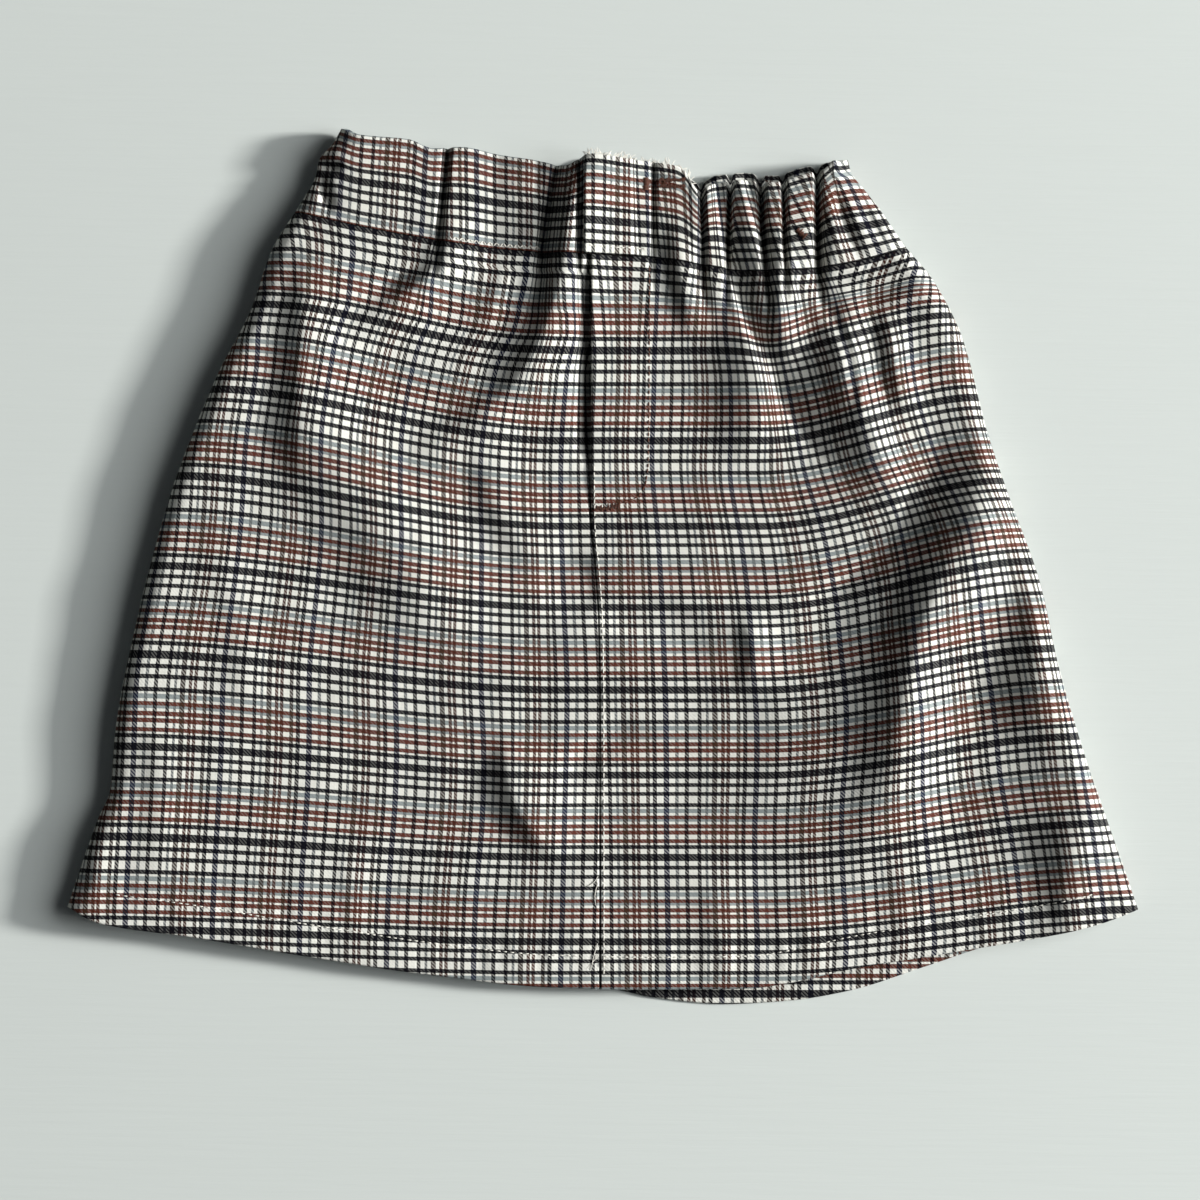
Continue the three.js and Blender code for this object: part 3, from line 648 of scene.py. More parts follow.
def lap_rise(x, y):
    """Rise towards the folded edge, eased off over LAP_EASE, and lower where it is sewn down."""
    rise = mix(LOW_LAP_RISE, LAP_RISE, ease((y - FLY_END) / LAP_EASE + 1))
    return rise * ease(1 - (x - centre(y)) / LAP_EASE)


def tab_rise(x, y):
    """Rise of the waistband's overlapping end, eased off just beyond it."""
    return TAB_RISE * ease(1 - (x - centre(y) - LAP) / STEP_OFF)


def step_down(x, y):
    """0 to the left of the fly and 1 from the folded edge on, sharper where the lap is sewn."""
    width = mix(SEWN_STEP, STEP_OFF, ease((y - FLY_END) / LAP_EASE + 1))
    return ease(1 + (x - centre(y)) / width)


def hem_relief(x, y):
    """The doubled cloth of the hem stands proud, with a furrow along its stitches and uneven
    puckers, the sum of two sine waves, that die away up and down from them."""
    above = y - front_hem(x)
    furrow = bell((above - STITCH_ABOVE_HEM) / FURROW_WIDTH)
    short, long = PUCKER_LENGTHS
    waves = np.sin(2 * np.pi * x / short) + np.sin(2 * np.pi * (x + PUCKER_SLANT * y) / long)
    pucker = PUCKER * waves * bell((above - STITCH_ABOVE_HEM) / PUCKER_REACH)
    return HEM_PROUD * ease((HEM_TURN + 1 - above) / 2) - FURROW * furrow + pucker


def gape(x, y):
    """Sink of the left panel along the open fly, deepest just beside the folded edge."""
    opened = ease((y - FLY_END) / GAPE_FADE) * ease((waist_seam(x) - GAPE_TOP - y) / GAPE_FADE)
    return FLY_GAPE * opened * bell((x - centre(y) + GAPE_SHIFT) / GAPE_WIDTH)


def left_lift(x, y):
    """Step down under the lap, by the cloth, its facing and a gap, and the open fly's gape."""
    step = step_down(x, y) * (lap_rise(x, y) - CLOTH - facing(x, y) - SEAM_GAP)
    return step - gape(x, y)


def panel_top(x):
    """Upper edge of every panel, half a gap below the waist seam."""
    return waist_seam(x) - SEAM_GAP / 2


def hem_wall(x, y):
    """Wall of a panel: one layer, and the doubled hem below HEM_TURN."""
    return mix(CLOTH, HEM_CLOTH, ease((HEM_TURN + 1 - (y - front_hem(x))) / 2))


# %% Build a front piece
def front_faces(x, y, shift, turn, lift, wall, sink):
    """Upper and lower face of a front piece: heights above the side seam are scaled by how
    far the wall has turned round the roll, and sink draws both faces into the wall."""
    seam = seam_height(x, y) + SEAM_GAP / 2
    top = front_height(x, y) + lift
    upper = seam + (top - sink - seam) * turn
    lower = seam + (top - wall + sink - seam) * turn
    return np.stack([x, y, upper], axis=-1), np.stack([x + shift, y, lower], axis=-1)


def rows_between(upper, lower, count, first, last):
    """Row shares v from an upper edge to a lower edge, closer together at rounded rims."""
    height = upper(0.0) - lower(0.0)
    return stations(height, count, first, last) / height, height


PANEL_ROWS, PANEL_COLUMNS = 222, 150
STEP_COLUMNS, UNDER_COLUMNS, LAP_COLUMNS = 10, 8, 12  # across the step, under and on the lap
row_v, panel_height = rows_between(
    panel_top, front_hem, PANEL_ROWS, SEAM_ROUND, ROUND * HEM_CLOTH
)
row_sink = np.maximum(
    inset(row_v * panel_height, SEAM_ROUND), inset((1 - row_v) * panel_height, ROUND * HEM_CLOTH)
)
fly_x = centre(mix(panel_top(0.0), front_hem(0.0), row_v))


def left_panel():
    """The left front: its side roll, its open cloth, the step down and the part under the lap."""
    edge = side_point(left_side, panel_top, front_hem, row_v)
    roll_x, roll_shift, roll_turn = roll_columns(ROLL_STEPS, edge, 1, CLOTH)
    share = stations(1, PANEL_COLUMNS)
    open_x = mix((edge + SIDE_ROLL)[:, None], (fly_x - STEP_OFF)[:, None], share)
    under = np.concatenate([np.linspace(-STEP_OFF, 0, STEP_COLUMNS + 1)[1:],
                            np.linspace(0, LAP, UNDER_COLUMNS + 1)[1:]])
    x = np.concatenate([roll_x, open_x, fly_x[:, None] + under], axis=1)
    flat_count = x.shape[1] - ROLL_STEPS
    shift = np.concatenate([roll_shift, np.zeros(flat_count)])
    turn = np.concatenate([roll_turn, np.ones(flat_count)])
    y = mix(panel_top(x), front_hem(x), row_v[:, None])
    wall = np.where(x > centre(y) - STEP_OFF, CLOTH, hem_wall(x, y))
    lift = left_lift(x, y) + hem_relief(x, y)
    upper, lower = front_faces(x, y, shift, turn, lift, wall, row_sink[:, None])
    warp = panel_warp(x, y, upper[..., 2], turn == 1, "left")
    return wall_mesh("front_left_panel", upper, lower, cloth_map(warp, panel_weft(x, y)))


def right_panel():
    """The right front: the lap with its rounded fold, its open cloth and its side roll."""
    edge = side_point(right_side, panel_top, front_hem, row_v)
    roll_x, roll_shift, roll_turn = roll_columns(ROLL_STEPS, edge, -1, CLOTH)
    fold_radius = ROUND * (CLOTH + FLY_FACING)
    lap = stations(LAP, LAP_COLUMNS, first=fold_radius)
    open_x = mix(
        (fly_x + LAP)[:, None], (edge - SIDE_ROLL)[:, None], stations(1, PANEL_COLUMNS)[1:]
    )
    x = np.concatenate([fly_x[:, None] + lap, open_x, roll_x[:, ::-1]], axis=1)
    flat_count = x.shape[1] - ROLL_STEPS
    shift = np.concatenate([np.zeros(flat_count), roll_shift[::-1]])
    turn = np.concatenate([np.ones(flat_count), roll_turn[::-1]])
    y = mix(panel_top(x), front_hem(x), row_v[:, None])
    wall = np.where(x < centre(y) + LAP + 1, CLOTH + facing(x, y), hem_wall(x, y))
    share = wall / (CLOTH + FLY_FACING)
    fold_sink = inset(np.maximum(x - centre(y), 0) / share, fold_radius) * share
    sink = np.maximum(row_sink[:, None], fold_sink)
    lift = lap_rise(x, y) + hem_relief(x, y)
    upper, lower = front_faces(x, y, shift, turn, lift, wall, np.minimum(sink, ROUND * wall))
    warp = panel_warp(x, y, upper[..., 2], turn == 1, "right")
    return wall_mesh("front_right_panel", upper, lower, cloth_map(warp, panel_weft(x, y)))


front_left_panel = left_panel()
front_right_panel = right_panel()

# %% [markdown]
# ## The back panel
#
# It lies face down on the table, turns up round both sides to the side seams, and its hem
# shows below the front's at the right. Its wefts run straight, because nothing pulls them.

# %% Build a back piece
BACK_ROWS, BACK_COLUMNS = 110, 190


def back_faces(x, y, shift, turn, wall, sink):
    """Inner and outer face of a back piece: the wall lies on its lift and turns up to the
    side seam, which it meets half a gap below the front."""
    seam = seam_height(x, y) - SEAM_GAP / 2
    lift = back_lift(x, y) * ease(2 * turn - 1)
    inner = seam + (lift + wall - sink - seam) * turn
    outer = seam + (lift + sink - seam) * turn
    return np.stack([x + shift, y, inner], axis=-1), np.stack([x, y, outer], axis=-1)


def both_sides(upper, lower, v, count, wall):
    """Columns from side to side with a roll at each end: x, shift and turn."""
    left = side_point(left_side, upper, lower, v)
    right = side_point(right_side, upper, lower, v)
    left_x, left_shift, left_turn = roll_columns(ROLL_STEPS, left, 1, wall)
    right_x, right_shift, right_turn = roll_columns(ROLL_STEPS, right, -1, wall)
    middle = mix((left + SIDE_ROLL)[:, None], (right - SIDE_ROLL)[:, None], stations(1, count))
    x = np.concatenate([left_x, middle, right_x[:, ::-1]], axis=1)
    shift = np.concatenate([left_shift, np.zeros(count), right_shift[::-1]])
    turn = np.concatenate([left_turn, np.ones(count), right_turn[::-1]])
    return x, shift, turn


def back_panel():
    """The back: one wall from side seam to side seam."""
    v, height = rows_between(panel_top, back_hem, BACK_ROWS, SEAM_ROUND, ROUND * HEM_CLOTH)
    x, shift, turn = both_sides(panel_top, back_hem, v, BACK_COLUMNS, CLOTH)
    y = mix(panel_top(x), back_hem(x), v[:, None])
    above_hem = y - back_hem(x)
    wall = mix(CLOTH, HEM_CLOTH, ease((HEM_TURN + 1 - above_hem) / 2))
    sink = np.maximum(
        inset(v * height, SEAM_ROUND), inset((1 - v) * height, ROUND * HEM_CLOTH)
    )
    upper, lower = back_faces(x, y, shift, turn, wall, sink[:, None])
    run = run_from(cloth_run(x, lower[..., 2], turn == 1, 1.0, PANEL_WINDOW), x, np.zeros(len(v)))
    weft = (panel_top(0.0) - y) / WEFT_REPEAT
    return wall_mesh("back_panel", upper, lower, cloth_map(run / WARP_REPEAT, weft))


back_panel_piece = back_panel()

# %% [markdown]
# ## The waistband
#
# A casing folded over wide elastic, in three lengths. Its columns follow the gathers' lines,
# so each crest and each hollow has its own run of points, and the top edge dips wherever a
# hollow meets it, which gives the scalloped edge of gathered cloth.

# %% Build the three lengths
BAND_ROWS = 34
CELLS_PER_GATHER = 12
SCALLOP = 0.45  # share of a gather's rise that shows in the top edge
TOP_DROP = 4.0  # how far the gathered front lies below the back's top edge
SCALLOPS_FROM, SCALLOPS_FADE = 30.0, 12.0  # x where the scallops start, and what they fade over
DROP_FROM, DROP_FROM_FADE = 36.0, 6.0  # the same where the rolled-down edge starts
DROP_TO, DROP_TO_FADE = 104.0, 8.0  # and where it ends
UNDER_TAB = 1.667  # gathers' lines that the left band runs on for under the tab
RIM_WIDTH, RIM_COLUMNS = 1.5, 3  # strip at the tab's edge, and the columns it stands in for
BACK_BAND_COLUMNS = 300


def scalloped_top(x):
    """The top edge, raised at crests and cut in at hollows, only where the elastic gathers."""
    lines, rises = ALL_GATHERS["top"], ALL_GATHERS["rise"]
    after = np.clip(np.searchsorted(lines, x), 1, len(lines) - 1)
    t = (x - lines[after - 1]) / (lines[after] - lines[after - 1])
    return band_top(x) + SCALLOP * lobe(rises[after - 1], rises[after], t) * ease(
        (x - SCALLOPS_FROM) / SCALLOPS_FADE
    )


def gathered_top(x):
    """The front's top edge: the scalloped one, rolled down by TOP_DROP along the gathers."""
    gathered = ease((x - DROP_FROM) / DROP_FROM_FADE), ease((DROP_TO - x) / DROP_TO_FADE)
    return scalloped_top(x) - TOP_DROP * gathered[0] * gathered[1]


def band_foot(x):
    """Lower edge of the waistband, half a gap above the waist seam."""
    return waist_seam(x) + SEAM_GAP / 2


band_v, band_height = rows_between(
    band_top, band_foot, BAND_ROWS, ROUND * BAND_CLOTH, SEAM_ROUND
)
band_sink = np.maximum(
    inset(band_v * band_height, ROUND * BAND_CLOTH), inset((1 - band_v) * band_height, SEAM_ROUND)
)[:, None]


def gather_columns(lines, first, last, cells):
    """x of columns that follow the gathers' lines from line number first to last: each is
    blended from its place on the top edge to its place at the seam."""
    place = np.linspace(first, last, cells + 1)
    number = np.arange(len(lines["top"]))
    top, foot = (np.interp(place, number, lines[name]) for name in ("top", "foot"))
    return mix(top, foot, band_v[:, None])


def band_cloth(x, y, z, flat, upper, group, start, spacing, slopes, foot):
    """Cloth coordinates of a band: brown warp groups spacing apart, of which number group
    lies at x = start, and even wefts from foot upwards, both in repeats."""
    run = run_from(cloth_run(x, z, flat, slopes, BAND_WINDOW), x, np.full(len(x), start))
    share = (upper(x) - y) / (upper(x) - band_foot(x))
    return cloth_map(group + run / spacing, foot - (1 - share) * band_height / WEFT_REPEAT)


def left_band():
    """The left length: its side roll, its tucks and the part under the tab."""
    edge = side_point(left_side, band_top, band_foot, band_v)
    roll_x, roll_shift, roll_turn = roll_columns(ROLL_STEPS, edge, 1, BAND_CLOTH)
    first = gather_columns(LEFT_GATHERS, 0, 0, 0)
    before = mix((edge + SIDE_ROLL)[:, None], first, stations(1, CELLS_PER_GATHER)[:-1])
    count = len(LEFT_GATHERS["top"]) - 1
    gathered = gather_columns(LEFT_GATHERS, 0, count, count * CELLS_PER_GATHER)
    under = gather_columns(RIGHT_GATHERS, 0, UNDER_TAB, CELLS_PER_GATHER)
    x = np.concatenate([roll_x, before, gathered, under], axis=1)
    flat_count = x.shape[1] - ROLL_STEPS
    shift = np.concatenate([roll_shift, np.zeros(flat_count)])
    turn = np.concatenate([roll_turn, np.ones(flat_count)])
    y = mix(band_top(x), band_foot(x), band_v[:, None])
    lift = step_down(x, y) * (tab_rise(x, y) - BAND_CLOTH - SEAM_GAP)
    upper, lower = front_faces(x, y, shift, turn, lift, BAND_CLOTH, band_sink)
    cloth = band_cloth(
        x, y, upper[..., 2], turn == 1, band_top,
        group=5, start=-32.5, spacing=36.5, slopes=1.5, foot=0.517,
    )
    return wall_mesh("left_waistband", upper, lower, cloth)


def right_band():
    """The right length: the tab with its rounded fold, the gathers and its side roll."""
    edge = side_point(right_side, band_top, band_foot, band_v)
    roll_x, roll_shift, roll_turn = roll_columns(ROLL_STEPS, edge, -1, BAND_CLOTH)
    count = len(RIGHT_GATHERS["top"]) - 1
    gathered = gather_columns(RIGHT_GATHERS, 0, count, count * CELLS_PER_GATHER)
    rim = gathered[:, :1] + stations(RIM_WIDTH, 2, first=ROUND * BAND_CLOTH)
    last = gathered[:, -1:]
    after = mix(last, (edge - SIDE_ROLL)[:, None], stations(1, CELLS_PER_GATHER)[1:])
    inner = gathered[:, RIM_COLUMNS:]
    x = np.concatenate([rim, inner, after, roll_x[:, ::-1]], axis=1)
    flat_count = x.shape[1] - ROLL_STEPS
    shift = np.concatenate([np.zeros(flat_count), roll_shift[::-1]])
    turn = np.concatenate([np.ones(flat_count), roll_turn[::-1]])
    y = mix(gathered_top(x), band_foot(x), band_v[:, None])
    lift = tab_rise(x, y)
    from_fold = x - x[:, :1]
    sink = np.maximum(band_sink, inset(from_fold, ROUND * BAND_CLOTH))
    upper, lower = front_faces(x, y, shift, turn, lift, BAND_CLOTH, sink)
    cloth = band_cloth(
        x, y, upper[..., 2], turn == 1, gathered_top,
        group=7, start=10.7, spacing=WARP_REPEAT, slopes=2.9, foot=0.357,
    )
    return wall_mesh("right_waistband", upper, lower, cloth)


def back_band():
    """The back length: one wall from side seam to side seam."""
    x, shift, turn = both_sides(band_top, band_foot, band_v, BACK_BAND_COLUMNS, BAND_CLOTH)
    y = mix(scalloped_top(x), band_foot(x), band_v[:, None])
    upper, lower = back_faces(x, y, shift, turn, BAND_CLOTH, band_sink)
    cloth = band_cloth(
        x, y, lower[..., 2], turn == 1, scalloped_top,
        group=0, start=0.0, spacing=WARP_REPEAT, slopes=1.6, foot=0.4,
    )
    return wall_mesh("back_waistband", upper, lower, cloth)


left_waistband = left_band()
right_waistband = right_band()
back_waistband = back_band()

# %% [markdown]
# ## Sewing
#
# Thread is what tells a garment from a cloth model. Each stitch is a short closed tube whose
# ends dip into the cloth, and all the stitches of one seam are one mesh: the hem's topstitch,
# the edge stitching of the lap, a zigzag at the foot of the band, the fly's curve with its bar
# tack, a worked buttonhole and a small tack. They lie on the same height formulas as the cloth
# that they hold, so no stitch floats or drowns.

# %% Tubes of thread
TUBE_SIDES, TUBE_STATIONS = 5, 6


def tube_faces(count, steps):
    """Triangles of count tubes of steps rings each, with a point at both ends, faces outward."""
    ring = np.arange(TUBE_SIDES)
    after = (ring + 1) % TUBE_SIDES
    start = np.arange(steps - 1)[:, None] * TUBE_SIDES
    a, b = start + ring, start + after
    c, d = b + TUBE_SIDES, a + TUBE_SIDES
    body = np.concatenate([
        np.stack([a, b, c], -1).reshape(-1, 3), np.stack([a, c, d], -1).reshape(-1, 3),
    ])
    last = (steps - 1) * TUBE_SIDES
    first_pole, last_pole = (np.full(TUBE_SIDES, steps * TUBE_SIDES + k) for k in (0, 1))
    caps = np.concatenate([
        np.stack([after, ring, first_pole], -1),
        np.stack([last + ring, last + after, last_pole], -1),
    ])
    one = np.concatenate([body, caps])
    return (one + np.arange(count)[:, None, None] * (steps * TUBE_SIDES + 2)).reshape(-1, 3)


def tube_mesh(name, centres, radius):
    """Closed tubes through centres (tube, station, xyz). Each station has a ring square to the
    path: radius times (cos of its angle to the side, sin of it upwards), thinner at the ends."""
    count, steps = centres.shape[:2]
    ahead = np.gradient(centres, axis=1)
    ahead /= np.linalg.norm(ahead, axis=-1, keepdims=True)
    side = np.cross(ahead, (0.0, 0.0, 1.0))
    side /= np.linalg.norm(side, axis=-1, keepdims=True)
    lift = np.cross(side, ahead)
    angle = np.linspace(0, 2 * np.pi, TUBE_SIDES, endpoint=False)[:, None]
    thin = np.sqrt(np.sin(np.linspace(0.15, 0.85, steps) * np.pi))[:, None, None]
    ring = np.cos(angle) * side[:, :, None] + np.sin(angle) * lift[:, :, None]
    rings = centres[:, :, None] + radius * thin * ring
    poles = centres[:, [0, -1]] + ahead[:, [0, -1]] * np.array([-radius, radius])[:, None]
    points = np.concatenate([rings.reshape(count, -1, 3), poles], axis=1).reshape(-1, 3)
    print(f"{name}: {count} tubes, {len(points)} points")
    return make_mesh(name, points, tube_faces(count, steps))


# %% The surfaces that are sewn
def left_top(x, y):
    """Height of the left panel's outer face."""
    return front_height(x, y) + left_lift(x, y) + hem_relief(x, y)


def right_top(x, y):
    """Height of the right panel's outer face."""
    return front_height(x, y) + lap_rise(x, y) + hem_relief(x, y)


def tab_top(x, y):
    """Height of the right waistband's outer face."""
    return front_height(x, y) + tab_rise(x, y)


# %% Stitches along a line
THREAD = 0.3  # radius of the sewing thread
HEM_PITCH, STITCH = 3.1, 2.3  # from one hem stitch to the next, and a stitch's own length
UNEVEN = 0.12  # how far a stitch is out of its place, as a share of the pitch
DIP = 0.34  # how deep a stitch's ends go into the cloth


def along(path, places):
    """Points and unit tangents at distances along a polyline given as an array of x, y."""
    step = np.hypot(*np.diff(path, axis=0).T)
    run = np.concatenate([[0], np.cumsum(step)])
    at = np.stack([np.interp(places, run, path[:, k]) for k in (0, 1)], axis=-1)
    ahead = np.stack([np.interp(places + 0.5, run, path[:, k]) for k in (0, 1)], axis=-1)
    behind = np.stack([np.interp(places - 0.5, run, path[:, k]) for k in (0, 1)], axis=-1)
    tangent = ahead - behind
    return at, tangent / np.linalg.norm(tangent, axis=-1, keepdims=True), run[-1]


def stitches(name, path, top, pitch, length, sway=0.0, raised=0.2, radius=THREAD, ragged=0.0):
    """Stitches every pitch along a path, each length long and slightly uneven. Sway moves the
    two ends to opposite sides of the path, which makes a zigzag or, at length 0, a satin bar,
    and ragged moves each end a little more at random. A stitch's height over the cloth is
    raised at its middle and -DIP at its ends."""
    path = np.array(path, float)
    total_run = along(path, np.zeros(1))[2]
    first = np.arange(0, total_run - length, pitch)
    first = first + rng.uniform(-UNEVEN, UNEVEN, len(first)) * pitch
    t = np.linspace(0, 1, TUBE_STATIONS)
    at, tangent, _ = along(path, first[:, None] + t * length)
    side = np.where(np.arange(len(first)) % 2, 1, -1)[:, None] if length else 1
    across = sway * side * (2 * t - 1) * np.ones((len(first), 1))
    across = across + mix(*rng.uniform(-ragged, ragged, (2, len(first), 1)), t)
    x = at[..., 0] - across * tangent[..., 1]
    y = at[..., 1] + across * tangent[..., 0]
    z = top(x, y) + (raised + DIP) * np.sin(t * np.pi) - DIP
    return tube_mesh(name, np.stack([x, y, z], axis=-1), radius)


def line(x, y, count=120):
    """Polyline whose x and y run between the values given, one of them a function of the other."""
    if callable(y):
        xs = np.linspace(*x, count)
        return np.stack([xs, y(xs)], axis=-1)
    ys = np.linspace(*y, count)
    return np.stack([x(ys), ys], axis=-1)


# %% Seams in off-white thread
def hem_line(x):
    """Line of the hem's topstitching."""
    return front_hem(x) + STITCH_ABOVE_HEM


def edge_line(y):
    """Line of the lap's edge stitching."""
    return centre(y) + 1.4


left_hem_stitches = stitches(
    "left_hem_stitching", line((-216, -9), hem_line), left_top, HEM_PITCH, STITCH
)
right_hem_stitches = stitches(
    "right_hem_stitching", line((0, 217), hem_line), right_top, HEM_PITCH, STITCH
)
lap_stitches = stitches(
    "lap_edge_stitching", line(edge_line, (46, -182)), right_top, 2.9, STITCH, radius=0.32
)
band_zigzag = stitches(
    "band_foot_zigzag", line((-68, -27), lambda x: waist_seam(x) + 1.8),
    lambda x, y: front_height(x, y), 1.5, 1.5, sway=0.8,
)
tab_stitches = stitches(
    "tab_foot_stitching", [(-6.6, 143.2), (6, 142.4), (19.6, 142.0)], tab_top, 2.4, 1.8
)


# %% Frayed yarns along the tab's raw top edge, and two loose ends at the hem
def fibres(name, root_x, root_y, surface, length, lean, radius, droop):
    """Curved fibres that leave the cloth at their roots: each runs for its length in a
    direction lean from +Y, bends by a random turn along its way, and sinks by droop."""
    count = len(root_x)
    t = np.linspace(0, 1, TUBE_STATIONS)
    bend = rng.uniform(-1.1, 1.1, (count, 1))
    turn = lean[:, None] + bend * t
    step = (length / (TUBE_STATIONS - 1))[:, None]
    x = root_x[:, None] + np.cumsum(np.sin(turn) * step, axis=1) - np.sin(turn[:, :1]) * step
    y = root_y[:, None] + np.cumsum(np.cos(turn) * step, axis=1) - np.cos(turn[:, :1]) * step
    z = surface(root_x, root_y)[:, None] - droop * t
    return tube_mesh(name, np.stack([x, y, z], axis=-1), radius)


FRAYS = 90
fray_x = rng.uniform(-7.5, 40, FRAYS)
frayed_yarns = fibres(
    "frayed_yarns", fray_x, gathered_top(fray_x) - rng.uniform(0.4, 1.0, FRAYS),
    lambda x, y: tab_top(x, y) - 0.9, rng.uniform(1.6, 3.8, FRAYS),
    rng.uniform(-0.8, 0.8, FRAYS), 0.19, 0.8,
)
loose_ends = fibres(
    "loose_thread_ends", np.array([-2.2, -2.0, -2.4, -1.9]), np.array([-136.0, -139, -166, -171]),
    lambda x, y: left_top(x, y) + 0.4, np.array([7.0, 10, 12, 8]),
    np.array([3.4, 3.7, 3.5, 3.8]), 0.2, 0.0,
)

# %% The fly, the buttonhole and the tack in rust-brown thread
FLY_CURVE = [(6.0, 28.6), (15.5, 32.2), (18.8, 37.4), (20.0, 46), (20.4, 80), (20.6, 134)]
fly_stitches = stitches("fly_stitching", FLY_CURVE, right_top, 2.7, 2.1, radius=0.34)
bar_tack = stitches(
    "fly_bar_tack", [(-3.8, 26.6), (2, 27.2), (7.4, 28.6)], right_top, 0.66, 0.0,
    sway=1.3, raised=0.35, ragged=1.0, radius=0.24,
)
SATIN_BARS = [  # name, line, pitch, half width, height over the cloth, raggedness
    ("buttonhole_upper", [(19.4, 172.2), (36.6, 172.6)], 0.6, 0.9, 0.3, 0.4),
    ("buttonhole_lower", [(19.4, 169.4), (36.6, 169.8)], 0.6, 0.9, 0.3, 0.4),
    ("buttonhole_end", [(19.0, 168.2), (19.0, 173.4)], 0.5, 1.6, 0.35, 0.5),
    ("band_tack", [(86.2, 150.5), (89.6, 147.0)], 0.5, 1.3, 0.4, 0.8),
]
band_bars = [
    stitches(name, path, tab_top, pitch, 0.0, sway=half_width, raised=height, ragged=ragged)
    for name, path, pitch, half_width, height, ragged in SATIN_BARS
]

# %% [markdown]
# ## Writing materials as expressions
#
# A node tree is a formula, so it is written as one. `Value` wraps a socket and turns +, -, *,
# / and % into Math nodes, and `Shader.node` makes any other node from its type, its settings
# and what feeds its sockets.


# %% The socket wrapper
class Value:
    """A number that runs through a node tree."""

    def __init__(self, shader, socket):
        self.shader, self.socket = shader, socket

    def math(self, operation, *inputs):
        return self.shader.node("ShaderNodeMath", {"operation": operation}, dict(enumerate(inputs)))

    def __add__(self, other):
        return self.math("ADD", self, other)

    def __sub__(self, other):
        return self.math("SUBTRACT", self, other)

    def __rsub__(self, other):
        return self.math("SUBTRACT", other, self)

    def __mul__(self, other):
        return self.math("MULTIPLY", self, other)

    def __truediv__(self, other):
        return self.math("DIVIDE", self, other)

    def __mod__(self, other):
        return self.math("FLOORED_MODULO", self, other)

    def __gt__(self, other):
        return self.math("GREATER_THAN", self, other)

    __radd__ = __add__
    __rmul__ = __mul__


class Shader:
    """A material and the nodes that make its finish."""

    def __init__(self, name):
        self.material = bpy.data.materials.new(name)
        self.material.use_nodes = True
        self.tree = self.material.node_tree
        self.tree.nodes.clear()

    def node(self, kind, settings, inputs, output=0):
        """Any node: its type, its settings, then what feeds its sockets, by name or number.
        A stops setting is a ramp's list of (place, colour)."""
        made = self.tree.nodes.new(kind)
        for name, value in settings.items():
            if name == "stops":
                self.fill_ramp(made.color_ramp, value)
            else:
                setattr(made, name, value)
        for key, value in inputs.items():
            if isinstance(value, Value):
                self.tree.links.new(value.socket, made.inputs[key])
            else:
                made.inputs[key].default_value = value
        return Value(self, made.outputs[output]) if len(made.outputs) else made

    def noise(self, place, scale, detail):
        """Noise texture of a scale and a number of octaves."""
        inputs = {"Vector": place, "Scale": scale, "Detail": detail}
        return self.node("ShaderNodeTexNoise", {}, inputs)

    def mapped(self, place, scale, turn=0.0):
        """A place, turned about Z and stretched by the scale."""
        inputs = {0: place, "Scale": scale, "Rotation": (0, 0, turn)}
        return self.node("ShaderNodeMapping", {}, inputs)

    def object_place(self):
        """The place on the object, in metres."""
        return self.node("ShaderNodeTexCoord", {}, {}, output="Object")

    def grey(self, shade):
        """Grey of a brightness."""
        return self.node("ShaderNodeCombineColor", {}, {0: shade, 1: shade, 2: shade})

    def blend(self, mode, factor, a, b):
        """Colour b blended into colour a by a factor."""
        settings = {"data_type": "RGBA", "blend_type": mode}
        return self.node("ShaderNodeMix", settings, {0: factor, 6: a, 7: b}, output=2)

    def bump(self, strength, distance, height):
        """Normal that a relief bends, with its depth in millimetres."""
        inputs = {"Strength": strength, "Distance": distance * MM, "Height": height}
        return self.node("ShaderNodeBump", {}, inputs)

    def fill_ramp(self, ramp, stops):
        """Stops of a ramp that holds each colour up to the next one's place."""
        ramp.interpolation = "CONSTANT"
        while len(ramp.elements) < len(stops):
            ramp.elements.new(1.0)
        for element, (place, colour) in zip(ramp.elements, stops):
            element.position, element.color = place, colour

    def finish(self, **sockets):
        """The Principled surface and the output."""
        surface = self.node("ShaderNodeBsdfPrincipled", {}, {
            name.replace("_", " "): value for name, value in sockets.items()
        })
        self.node("ShaderNodeOutputMaterial", {}, {"Surface": surface})
        return self.material


# %% [markdown]
# ## Plaid twill
#
# A plaid is two stripe orders crossed. The warp and weft orders are short tables of yarn
# groups, each with its place in the repeat, its width and its colour. In the twill, a
# diagonal mask decides which of the two yarns lies on top, and dark yarns spread a little
# over light ones because brushed cloth blurs them. The same diagonal, with a fine noise for
# the nap, drives the bump.

# %% The sett
CREAM = (0.66, 0.655, 0.60)
BLACK = (0.003, 0.003, 0.005)
NAVY = (0.005, 0.009, 0.030)
RUST = (0.085, 0.020, 0.012)
DARK_RUST = (0.050, 0.016, 0.010)
GREY_BLUE = (0.21, 0.24, 0.24)
TAUPE = (0.035, 0.025, 0.020)
PALE_GREY = (0.11, 0.12, 0.12)

